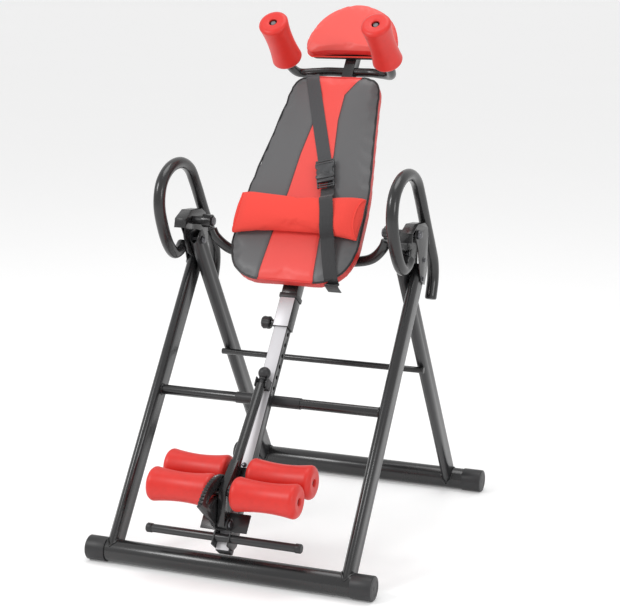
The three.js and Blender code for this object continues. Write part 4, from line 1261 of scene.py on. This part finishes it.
@dataclass
class Headrest:
    """The half-moon head cushion, its shell, its post and the shoulder bar."""

    slack: float = 6 * MM
    face_lift: float = 13 * MM
    steps: int = 12
    bar_radius: float = 12 * MM
    bar_route: tuple[tuple[float, float, float], ...] = (
        (140, -152, 501), (140, -77, 489), (140, -20, 479.9), (140, -2, 477), (130, 42, 483), (96, 65.9, 500),
        (62, 72.9, 508), (30, 72.9, 508))

    def __post_init__(self) -> None:
        """Takes the cushion's box from its solid."""
        self.low, self.high = BED.box("headrest_pad")

    def outline(self, inset: float) -> list[tuple[float, float]]:
        """The half-moon as (x, z), anticlockwise from its lower right."""
        half, low, high = self.high.x - inset, self.low.z + inset, self.high.z - inset
        curves = [
            ((half - 0.026, low), (half - 0.008, low), (half, low + 0.014), (half, low + 0.038)),
            ((half, low + 0.038), (half - 0.004, high - 0.046), (half - 0.062, high), (0.0, high)),
        ]
        right = [BackCushion.bezier(curve, s / self.steps) for curve in curves for s in range(self.steps)]
        return [*right, (0.0, high), *[(-x, z) for x, z in reversed(right)]]

    def cover(self) -> PanelVinyl:
        """A pale face with a deeper red band round the edge."""
        return PanelVinyl("head_vinyl", "red_vinyl", RED_VINYL.tone, centre=(0.76, 0.085, 0.070),
                          band=RED_VINYL.tone, bottom=self.low.z, top=self.high.z,
                          edge=self.low.y + 10 * MM, widths=((0.0, 1.0), (1.0, 1.0)), widest=0.5)

    def build(self) -> None:
        """Makes the head cushion, its back shell, piping and steel."""
        shell = prism("headrest_shell", self.outline(7 * MM), self.high.y - 7 * MM, self.high.y, BED.matrix,
                      1.5 * MM)
        dress(shell, PLASTIC, Body.BED)
        empty = prism("head_cushion", self.outline(self.slack), self.low.y + self.slack, self.high.y - 9 * MM,
                      BED.matrix)
        pad = inflate(empty, 5 * MM, 4.0, 8 * MM)
        fitted(pad, self.low, Vector((self.high.x, self.high.y - 4 * MM, self.high.z)))
        subdivided(pad, 1)
        middle = (self.low.z + self.high.z) / 2

        def lean(co: Vector) -> Vector:
            """Lifts the face's lower edge, so that the underside slopes back and down."""
            front = min(1.0, max(0.0, (self.high.y - co.y) / (self.high.y - self.low.y)))
            below = min(1.0, max(0.0, (middle - co.z) / (middle - self.low.z)))
            return co + Vector((0, 0, self.face_lift * front * below))

        reshape(pad, lean)
        shade(pad, 60)
        dress(pad, self.cover(), Body.BED, "headrest_pad")
        tree = surface_of(pad)
        path = []
        for x, z in self.outline(1 * MM):
            hit = tree.find_nearest(Vector((x, self.high.y - 13 * MM, z)))
            path.append(hit[0] + hit[1] * 0.6 * MM)
        cord = shade(sweep("head_cushion_piping", catmull(path, 2, closed=True), circle(2.2 * MM, 8), BED.matrix,
                           closed=True))
        dress(cord, RED_VINYL, Body.BED)
        edged("headrest_post", COAT, Body.BED, 1.2 * MM)
        half = [Vector(place) * MM for place in self.bar_route]
        route = [*half, *[Vector((-p.x, p.y, p.z)) for p in reversed(half)]]
        bar = tube("shoulder_bar_finished", route, self.bar_radius, BED.matrix, COAT)
        dress(bar, COAT, Body.BED, "shoulder_bar")


# ------------------------------------------------------------------ foam rollers
@dataclass
class FoamRoller:
    """A waisted foam roller, turned about its bar."""

    node: str
    body: Body
    start: Vector
    finish: Vector
    end_radius: float
    waist_radius: float
    bore: float
    mouth: float
    swell_power: float = 1.9
    rim: float = 15 * MM
    rows: int = 40

    def profile(self) -> list[tuple[float, float]]:
        """The loop of (radius, x) pairs from the bore, over the foam and back."""
        length = (self.finish - self.start).length
        body = []
        for i in range(self.rows + 1):
            x = length * i / self.rows
            swell = min(1.0, abs(x - length / 2) / (length / 2 - 0.7 * self.rim)) ** self.swell_power
            radius = self.waist_radius + (self.end_radius - self.waist_radius) * swell
            near = min(x, length - x)
            if near < self.rim:
                radius -= self.rim * (1 - math.sqrt(max(0.0, 1 - (1 - near / self.rim) ** 2)))
            body.append((radius, x))
        dish = 1.0 * MM
        lip = [(self.bore, 7 * MM), (self.mouth, 5 * MM), (self.mouth, dish + 1.6 * MM),
               (self.mouth + 0.6 * MM, dish + 0.5 * MM), (self.mouth + 1.8 * MM, dish),
               (self.mouth + 6 * MM, dish * 0.6), (body[0][0] - 3 * MM, 0.1 * MM)]
        return [*lip, *body, *[(radius, length - x) for radius, x in reversed(lip)]]

    def build(self) -> bpy.types.Object:
        """Makes the roller."""
        along = (self.finish - self.start).normalized()
        foam = lathe(f"{self.node}_foam", self.profile(), turned_to(self.start, along), 56)
        draw = random.Random(self.node)
        phase, lump = draw.random() * 6, 0.5 * MM

        def lumpy(co: Vector) -> Vector:
            """Foam is never quite round."""
            turn = math.atan2(co.z, co.y)
            bulge = lump * math.sin(2 * turn + phase) * math.sin(co.x * 30 + phase)
            away = Vector((0, co.y, co.z))
            return co + (away.normalized() * bulge if away.length > self.bore + 3 * MM else Vector())

        reshape(foam, lumpy)
        shade(foam, 50)
        return dress(foam, FOAM, self.body, self.node)


@dataclass
class RollerSet:
    """Four ankle rollers on two axles and two shoulder rollers on their bar."""

    ankle_end: float = 42 * MM
    ankle_waist: float = 35 * MM
    shoulder_end: float = 39.5 * MM
    shoulder_waist: float = 34.5 * MM

    def ankle(self, axle: str, body: Body) -> None:
        """Two rollers on one axle, and the axle."""
        for side in Side:
            node = f"{axle}_ankle_roller_{side.word}"
            low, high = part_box(node)
            middle = (low + high) / 2
            inner, outer = (low.x, high.x) if side is Side.RIGHT else (high.x, low.x)
            FoamRoller(node, body, Vector((inner, middle.y, middle.z)), Vector((outer, middle.y, middle.z)),
                       self.ankle_end, self.ankle_waist, 8.4 * MM, 9.5 * MM).build()
        edged(f"{axle}_axle", COAT, body, 1.2 * MM)

    def shoulder(self, side: Side) -> None:
        """One shoulder roller, with the grey plug in its bar's end."""
        node = f"shoulder_roller_{side.word}"
        low, high = BED.box(node)
        rise, run = 24.0, 150.0
        lean = math.atan2(rise, run)
        x = (low.x + high.x) / 2
        reach = self.shoulder_end
        start = Vector((x, high.y - reach * math.sin(lean), low.z + reach * math.cos(lean)))
        end = Vector((x, low.y + reach * math.sin(lean), high.z - reach * math.cos(lean)))
        first, last = BED.matrix @ start, BED.matrix @ end
        FoamRoller(node, Body.BED, first, last, self.shoulder_end, self.shoulder_waist, 12.6 * MM, 10.5 * MM,
                   rim=9 * MM).build()
        along = (last - first).normalized()
        plug = lathe(f"shoulder_plug_{side.word}",
                     [(0, 0), (6.8 * MM, 0), (6.8 * MM, 6.6 * MM), (6.0 * MM, 7.6 * MM), (4.6 * MM, 7.7 * MM),
                      (4.0 * MM, 6.9 * MM), (0, 6.7 * MM)], turned_to(last - along * 12.4 * MM, along), 36)
        dress(shade(plug), PLUG_PLASTIC, Body.BED)

    def build(self) -> None:
        """Makes all six rollers."""
        self.ankle("rear", Body.FOOT)
        self.ankle("front", Body.CLAMP)
        for side in Side:
            self.shoulder(side)


# ------------------------------------------------------------------ strap and buckle
@dataclass
class Harness:
    """The slanted webbing strap over the cushion and pillow, and its side-release buckle."""

    width: float = 35 * MM
    thickness: float = 1.8 * MM
    top_x: float = -72 * MM
    middle: tuple[float, float] = (40 * MM, 160 * MM)
    foot_x: float = 124 * MM
    lift: float = 1.4 * MM
    bow: float = 10 * MM

    def __post_init__(self) -> None:
        """Takes the cushion's length from its solid."""
        self.low, self.high = BED.box("back_pad")

    def x_at(self, z: float) -> float:
        """The strap's x at a height."""
        if z > self.middle[1]:
            share = (z - self.middle[1]) / (self.high.z - self.middle[1])
            return self.middle[0] + share * (self.top_x - self.middle[0])
        share = (self.middle[1] - z) / (self.middle[1] - self.low.z)
        aside = self.bow * math.exp(-(((z - 35 * MM) / (60 * MM)) ** 2))
        return self.middle[0] + share * (self.foot_x - self.middle[0]) + aside

    def slant(self, upper: bool) -> Vector:
        """The strap's width direction on one side of the buckle."""
        end = (self.top_x, self.high.z) if upper else (self.foot_x, self.low.z)
        along = Vector((end[0] - self.middle[0], 0, end[1] - self.middle[1])).normalized()
        return Vector((along.z, 0, -along.x)) * (1 if upper else -1)

    def lay(self, tree: BVHTree, z0: float, z1: float, across: Vector, count: int = 70) -> list[Vector]:
        """Lays the strap taut on what is under it.

        Args:
            tree: the cushion and pillow.
            z0: the height where it starts.
            z1: the height where it ends.
            across: its width direction.
            count: steps.
        Returns:
            Its middle line.
        """
        line = []
        for i in range(count + 1):
            z = z0 + (z1 - z0) * i / count
            depths = []
            for a in (-0.5, -0.25, 0, 0.25, 0.5):
                at = Vector((self.x_at(z), -0.3, z)) + across * self.width * a
                hit = tree.ray_cast(at, Vector((0, 1, 0)))
                depths.append(hit[0].y if hit[0] else self.low.y + 0.02)
            line.append(Vector((self.x_at(z), min(depths) - self.lift, z)))
        return self.taut(line)

    @staticmethod
    def taut(line: list[Vector]) -> list[Vector]:
        """Bridges the hollows, as a tight strap does, then eases the corners."""
        hull: list[int] = []
        for i, place in enumerate(line):
            while len(hull) > 1:
                a, b = line[hull[-2]], line[hull[-1]]
                way = 1 if place.z > a.z else -1
                if (b.y - a.y) * (place.z - a.z) * way < (place.y - a.y) * (b.z - a.z) * way:
                    break
                hull.pop()
            hull.append(i)
        bridged = [place.copy() for place in line]
        for a, b in zip(hull, hull[1:]):
            for i in range(a, b):
                share = (i - a) / (b - a)
                y = line[a].y + share * (line[b].y - line[a].y)
                bridged[i].y = 0.7 * y + 0.3 * line[i].y
        for _ in range(3):
            eased = [p.copy() for p in bridged]
            for i in range(1, len(bridged) - 1):
                eased[i].y = min(bridged[i].y, (bridged[i - 1].y + bridged[i].y + bridged[i + 1].y) / 3)
            bridged = eased
        return bridged

    def band(self, _: int) -> list[tuple[float, float]]:
        """The webbing's section, with thicker selvedges."""
        half, thick = self.width / 2, self.thickness / 2
        outer = [(-half + self.width * k / 10, thick * (1.0 if 0 < k < 10 else 0.55)) for k in range(11)]
        return [*outer, *[(a, -b) for a, b in reversed(outer)]]

    def strap(self, name: str, path: list[Vector], across: Vector, wrap: int, node: str,
              finish: Webbing) -> None:
        """Makes one length of webbing.

        Args:
            name: the piece's name.
            path: its middle line.
            across: its width direction on the cushion.
            wrap: how many of the last steps go round the cushion's edge, square to it.
            node: the solid that it replaces.
            finish: its webbing.
        """
        square = Vector((1 if across.x > 0 else -1, 0, 0))
        turn = 14
        start = len(path) - wrap - turn
        widths = [across.lerp(square, min(1.0, max(0.0, (i - start) / turn))) for i in range(len(path))]
        made = sweep(name, path, self.band, BED.matrix, across=widths)
        dress(shade(made, 50), finish, Body.BED, node)

    def build(self, pad: bpy.types.Object, pillow: bpy.types.Object) -> None:
        """Makes the two lengths of strap and the buckle."""
        tree = surface_of(pad, pillow)
        half = 23 * MM
        upper = self.lay(tree, self.middle[1] + half - 6 * MM, self.high.z - 4 * MM, self.slant(True))
        over = self.high.z + 3.0 * MM
        upper += catmull([upper[-1], Vector((self.x_at(over), self.low.y + 4 * MM, over - 1 * MM)),
                          Vector((self.x_at(over), self.low.y + 12 * MM, over + 1 * MM)),
                          Vector((self.x_at(over), self.high.y - 4 * MM, over + 1 * MM))], 6)[1:]
        self.strap("strap_over_shoulder", upper, self.slant(True), 18, "strap_upper", WEB)
        lower = self.lay(tree, self.middle[1] - half - 20 * MM, self.low.z + 5 * MM, self.slant(False), 110)
        under = self.low.z - 3.0 * MM
        lower += catmull([lower[-1], Vector((self.x_at(under), self.low.y + 4 * MM, under + 1 * MM)),
                          Vector((self.x_at(under), self.low.y + 13 * MM, under - 1 * MM)),
                          Vector((self.x_at(under), self.high.y - 4 * MM, under - 1 * MM))], 6)[1:]
        self.strap("strap_over_lap", lower, self.slant(False), 18, "strap_lower", LAP_WEB)
        Buckle(self.middle, self.slant(False), min(upper[3].y, lower[3].y)).build()


@dataclass
class Buckle:
    """A side-release buckle: a ribbed socket and a pronged tongue with a strap bar."""

    middle: tuple[float, float]
    across: Vector
    seat: float
    width: float = 50 * MM
    length: float = 48 * MM
    thickness: float = 12 * MM
    notch: float = 5 * MM

    def build(self) -> None:
        """Makes both halves."""
        up = Vector((-self.across.z, 0, self.across.x))
        up = up if up.z > 0 else -up
        right = up.cross(Vector((0, 1, 0))) * -1
        place = Vector((self.middle[0], self.seat - 1 * MM, self.middle[1]))
        local = Matrix.Translation(place) @ Matrix((right, Vector((0, 1, 0)), up)).transposed().to_4x4()
        there = BED.matrix @ local
        dress(self.socket(there), BUCKLE_PLASTIC, Body.BED, "buckle_socket")
        dress(self.tongue(there), BUCKLE_PLASTIC, Body.BED, "buckle_tongue")

    def socket_outline(self) -> list[tuple[float, float]]:
        """The socket seen from the front, with a notch in each side for the prongs."""
        w, h, n = self.width / 2, self.length / 2, self.notch
        right = [(w - 4 * MM, -h), (w, -h + 5 * MM), (w, -h + 9 * MM), (w - n, -h + 14 * MM), (w - n, h - 20 * MM),
                 (w, h - 14 * MM), (w, h - 4 * MM), (w - 4 * MM, h)]
        return right + [(-x, z) for x, z in reversed(right)]

    def bar(self, name: str, x: float, z: float, wide: float, tall: float, low: float, high: float,
            there: Matrix, bevel: float = 0.8 * MM) -> bpy.types.Object:
        """A small rounded bar centred on (x, z)."""
        outline = [(x - wide / 2, z - tall / 2), (x + wide / 2, z - tall / 2), (x + wide / 2, z + tall / 2),
                   (x - wide / 2, z + tall / 2)]
        return prism(name, outline, low, high, there, bevel)

    def socket(self, there: Matrix) -> bpy.types.Object:
        """The socket's shell, its two grip ribs and its strap bars."""
        t = self.thickness
        shell = prism("socket_shell", self.socket_outline(), -t, 0.0, there, 1.6 * MM)
        ribs = [self.bar(f"socket_rib_{i}", 0, -0.3 * self.length + i * 4 * MM, 0.5 * self.width, 1.6 * MM,
                         -t - 0.7 * MM, -t + 1 * MM, there, 0.5 * MM) for i in range(3)]
        lip = self.bar("socket_lip", 0, self.length / 2 - 5 * MM, self.width - 6 * MM, 3 * MM, -t - 1 * MM,
                       -t + 2 * MM, there)
        bar = self.bar("socket_bar", 0, self.length / 2 + 5.5 * MM, self.width - 2 * MM, 4 * MM, -t + 4 * MM,
                       -2 * MM, there)
        arms = [self.bar(f"socket_arm_{side.word}", side.value * (self.width / 2 - 2.5 * MM), self.length / 2 + 1.5 * MM,
                         4 * MM, 10 * MM, -t + 4 * MM, -2 * MM, there) for side in Side]
        return joined("buckle_socket_moulded", [shell, *ribs, lip, bar, *arms])

    def tongue(self, there: Matrix) -> bpy.types.Object:
        """The tongue's base, strap bars and the two prongs in the socket's notches."""
        t, h, w = self.thickness, self.length / 2, self.width / 2
        base = self.bar("tongue_base", 0, -h - 5 * MM, self.width - 4 * MM, 9 * MM, -t + 1.5 * MM, -1 * MM, there,
                        1.4 * MM)
        ladder = [self.bar(f"tongue_ladder_{i}", 0, -h - 16 * MM - i * 6.5 * MM, self.width - 6 * MM, 3.4 * MM,
                           -t + 5 * MM, -3 * MM, there) for i in range(2)]
        rails = [self.bar(f"tongue_rail_{side.word}", side.value * (w - 4 * MM), -h - 15 * MM, 3.6 * MM, 20 * MM,
                          -t + 4 * MM, -2 * MM, there) for side in Side]
        prongs = []
        for side in Side:
            s = side.value
            outline = [(s * (w - 9 * MM), -h - 2 * MM), (s * (w - 4.5 * MM), -h - 2 * MM), (s * (w - 2.6 * MM), -h + 12 * MM),
                       (s * (w - 1.2 * MM), -2 * MM), (s * (w - 2.6 * MM), 5 * MM), (s * (w - 7 * MM), 3 * MM)]
            prongs.append(prism(f"tongue_prong_{side.word}", outline, -t + 3 * MM, -3 * MM, there, 0.9 * MM))
        return joined("buckle_tongue_moulded", [base, *ladder, *rails, *prongs])


# ------------------------------------------------------------------ bed steel, foot slide and lever
@dataclass
class BedSteel:
    """The bed's tube, arms and collar, and the pull pin in its housing."""

    knob_flutes: int = 10
    arm_radius: float = 13 * MM
    arm_eye: tuple[float, float] = (234.2, 258.8)
    arm_route: tuple[tuple[float, float, float], ...] = (
        (21.4, 73.7, -50), (90, 73.7, -50), (150, 70.7, -50), (196, 55.7, -45), (228, 28, -28), (236.5, 15, -15))

    def build(self) -> None:
        """Makes the bed's steel and the pull pin."""
        low, high = BED.box("bed_tube")
        bolts = [bolt_head(f"bed_tube_bolt_{side.word}_{i}", BED.point(side.value * high.x, (low.y + high.y) / 2, z),
                           BED.matrix.to_3x3() @ Vector((side.value, 0, 0)), BOLT_RADIUS, ZINC)
                 for side in Side for i, z in enumerate((0.10, 0.30))]
        edged("bed_tube", COAT, Body.BED, 2.2 * MM, bolts)
        edged("bed_tube_strip", STRIP, Body.BED, 0.3 * MM)
        edged("bed_tube_collar", PLASTIC, Body.BED, 0.8 * MM)
        for side in Side:
            self.arm(side)
            edged(f"pivot_bush_{side.word}", PLASTIC, Body.BED, 0.4 * MM)
        edged("pull_pin_housing", COAT, Body.BED, 0.5 * MM)
        self.pull_knob()

    def arm(self, side: Side) -> None:
        """A swing arm, bent from the bed tube up to its eye round the pivot pin."""
        node = f"swing_arm_{side.word}"
        route = [Vector((side.value * x, y, z)) * MM for x, y, z in self.arm_route]
        bent = tube(f"{node}_tube", route, self.arm_radius, BED.matrix, COAT)
        eye = self.arm_eye
        profile = [(12.6, eye[0]), (16.4, eye[0]), (17, eye[0] + 0.6), (17, eye[1] - 0.6), (16.4, eye[1]),
                   (10.9, eye[1]), (10.9, eye[0] + 4), (12.6, eye[0] + 4)]
        ring = lathe(f"{node}_eye", [(radius * MM, side.value * x * MM) for radius, x in profile], BED.matrix, 40)
        shade(ring, 30).data.materials.append(COAT.material())
        dress(joined(f"{node}_finished", [bent, ring]), COAT, Body.BED, node)

    def pull_knob(self) -> None:
        """The fluted knob on the pull pin."""
        low, high = BED.box("pull_pin")
        radius, y, z = (high.z - low.z) / 2, (low.y + high.y) / 2, (low.z + high.z) / 2
        length = 24 * MM
        base = low.x + length
        profile = [(0, high.x - base), (4.4 * MM, high.x - base - 1 * MM), (4.4 * MM, 0), (radius - 3 * MM, -0.2 * MM),
                   (radius, -3 * MM), (radius, -7 * MM), (radius - 0.6 * MM, -12 * MM), (radius, -17 * MM),
                   (radius, -length + 4 * MM), (radius - 3 * MM, -length + 0.6 * MM), (radius - 7 * MM, -length),
                   (0, -length + 0.8 * MM)]
        knob = lathe("pull_pin_knob", profile, BED.matrix @ Matrix.Translation((base, y, z)), 80)

        def flute(co: Vector) -> Vector:
            """Scallops the grip."""
            away = math.hypot(co.y, co.z)
            if away < radius * 0.75:
                return co
            turn = math.atan2(co.z, co.y)
            shrink = 1 - 0.055 * (0.5 - 0.5 * math.cos(self.knob_flutes * turn))
            return Vector((co.x, co.y * shrink, co.z * shrink))

        reshape(knob, flute)
        dress(shade(knob, 38), PLASTIC, Body.PIN, "pull_pin")


@dataclass
class FootSlide:
    """The telescoping foot tube with its bracket, foot bar, ratchet and rear rollers' mount."""

    plug_height: float = 9 * MM

    def end_plug(self) -> bpy.types.Object:
        """The plastic plug that closes the foot tube's lower end."""
        low, high = BED.box("foot_tube")
        x, y0, y1 = high.x - 0.3 * MM, low.y + 0.3 * MM, high.y - 0.3 * MM
        vertices = [(sx * x, y, z) for z in (low.z - 2.5 * MM, low.z + self.plug_height) for sx, y in
                    ((-1, y0), (1, y0), (1, y1), (-1, y1))]
        faces = [(0, 1, 2, 3), (4, 5, 6, 7), (0, 1, 5, 4), (1, 2, 6, 5), (2, 3, 7, 6), (3, 0, 4, 7)]
        return rounded(solid("foot_tube_plug", vertices, faces, BED.matrix), 1.6 * MM)

    def bar_cap(self, side: Side) -> bpy.types.Object:
        """The rubber cap on one end of the foot bar."""
        low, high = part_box("foot_bar")
        radius, middle = (high.z - low.z) / 2 + 1.3 * MM, (low + high) / 2
        end = high.x if side is Side.RIGHT else low.x
        profile = [(0, -14 * MM), (radius - 1.2 * MM, -14 * MM), (radius, -12.6 * MM), (radius, -0.5 * MM),
                   (radius - 1.8 * MM, 1.6 * MM), (0, 2.0 * MM)]
        return shade(lathe(f"foot_bar_cap_{side.word}", profile,
                           turned_to(Vector((end, middle.y, middle.z)), Vector((side.value, 0, 0))), 36))

    def build(self) -> None:
        """Makes every piece that slides with the foot tube."""
        edged("foot_tube", FRAME_COAT, Body.FOOT, 1.8 * MM)
        dress(self.end_plug(), PLASTIC, Body.FOOT)
        edged("foot_tube_strip", STRIP, Body.FOOT, 0.3 * MM)
        low, high = BED.box("foot_bracket")
        front = -(BED.matrix.to_3x3() @ Vector((0, 1, 0)))
        plate_y = 36 * MM
        plate_z = low.z + 0.72 * (high.z - low.z)
        bolts = [bolt_head(f"foot_plate_bolt_{side.word}", BED.point(side.value * 12 * MM, plate_y, plate_z),
                           front, BOLT_RADIUS, ZINC) for side in Side]
        edged("foot_bracket", FRAME_COAT, Body.FOOT, 1.0 * MM, bolts)
        edged("foot_bar", FRAME_COAT, Body.FOOT, 0.6 * MM)
        for side in Side:
            dress(self.bar_cap(side), PLASTIC, Body.FOOT)
        for node, width in (("ratchet_quadrant", 0.5), ("rear_axle_mount", 1.2)):
            edged(node, COAT, Body.FOOT, width * MM)
        edged("lever_guide", PLASTIC, Body.FOOT, 0.6 * MM)
        for node in ("lever_pivot_bolt", "axle_mount_bolt"):
            edged(node, ZINC, Body.FOOT, 0.5 * MM)


@dataclass
class AnkleLever:
    """The clamp's lever and its release knob."""

    def build(self) -> None:
        """Makes the lever and the ball knob on it."""
        edged("ankle_lever", COAT, Body.CLAMP, 1.2 * MM)
        joints = {joint["name"]: joint for joint in frame["record"]["behaviour"]["joints"]}
        along = Vector(joints["release_knob"]["axis"]).normalized()
        reach = [v.co.dot(along) for v in frame["nodes"]["lever_release_knob"].data.vertices]
        low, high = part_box("lever_release_knob")
        middle = (low + high) / 2
        foot = middle + along * (min(reach) - middle.dot(along))
        length = max(reach) - min(reach)
        ball = 15.5 * MM
        centre = length - ball
        profile = [(0, 0), (6.4 * MM, 0), (6.4 * MM, length - 36 * MM), (9 * MM, length - 34 * MM),
                   (9.6 * MM, length - 31 * MM), (7.6 * MM, length - 29 * MM)]
        profile += [(ball * math.sin(a), centre - ball * math.cos(a)) for a in
                    (math.pi * k / 16 for k in range(3, 16))]
        profile.append((0, length))
        knob = lathe("lever_ball_knob", profile, turned_to(foot, along), 44)
        dress(shade(knob, 34), PLASTIC, Body.KNOB, "lever_release_knob")


# ------------------------------------------------------------------ studio
@dataclass
class Studio:
    """A pale floor, soft lights and the camera."""

    azimuth: float = 22.26
    elevation: float = 12.03
    distance: float = 4.2228
    lens: float = 98.2
    aim: tuple[float, float, float] = (0.0495, 0.0036, 0.5849)
    floor_size: float = 60.0
    air: float = 0.8

    def area(self, name: str, place: Point, size: float, power: float) -> None:
        """A square soft light aimed at the object's middle."""
        light = bpy.data.lights.new(name, "AREA")
        light.size = size
        light.energy = power
        lamp = bpy.data.objects.new(name, light)
        lamp.location = place
        lamp.rotation_euler = (Vector((0, 0, 0.7)) - Vector(place)).to_track_quat("-Z", "Y").to_euler()
        bpy.context.scene.collection.objects.link(lamp)

    def build(self) -> None:
        """Makes the floor, the lights and the camera."""
        half = self.floor_size
        floor = solid("studio_floor", [(-half, -half, 0), (half, -half, 0), (half, half, 0), (-half, half, 0)],
                      [(0, 1, 2, 3)], Matrix.Translation((0, 0, -0.0006)))
        floor.data.materials.append(FLOOR.material())
        world = bpy.data.worlds.new("studio_air")
        world.use_nodes = True
        world.node_tree.nodes["Background"].inputs[0].default_value = (1, 1, 1, 1)
        world.node_tree.nodes["Background"].inputs[1].default_value = self.air
        bpy.context.scene.world = world
        bpy.context.scene.view_settings.view_transform = "Standard"
        self.area("key_softbox", (-2.4, -2.8, 3.2), 1.3, 62)
        self.area("fill_softbox", (3.4, -1.8, 1.8), 1.2, 22)
        self.area("top_softbox", (0.2, 0.4, 4.0), 2.0, 36)
        self.camera()

    def camera(self) -> None:
        """The camera, at its angle and distance from the aim."""
        turn, rise = math.radians(self.azimuth), math.radians(self.elevation)
        ahead = Vector((-math.sin(turn) * math.cos(rise), math.cos(turn) * math.cos(rise), -math.sin(rise)))
        data = bpy.data.cameras.new("front_right_camera")
        data.lens = self.lens
        data.sensor_width = 36.0
        data.sensor_fit = "HORIZONTAL"
        camera = bpy.data.objects.new("front_right_camera", data)
        camera.location = Vector(self.aim) - ahead * self.distance
        camera.rotation_euler = (math.pi / 2 - rise, 0, turn)
        bpy.context.scene.collection.objects.link(camera)
        bpy.context.scene.camera = camera


def main() -> None:
    """Builds the studio and every sub-assembly in order."""
    logging.basicConfig(level=logging.INFO, format="%(name)s: %(message)s")
    Studio().build()
    Stand().build()
    cushion = BackCushion().build()
    harness = Harness()
    pillow = LumbarPillow().build(harness.x_at)
    harness.build(cushion, pillow)
    Headrest().build()
    RollerSet().build()
    BedSteel().build()
    FootSlide().build()
    AnkleLever().build()


if __name__ == "__main__":
    main()
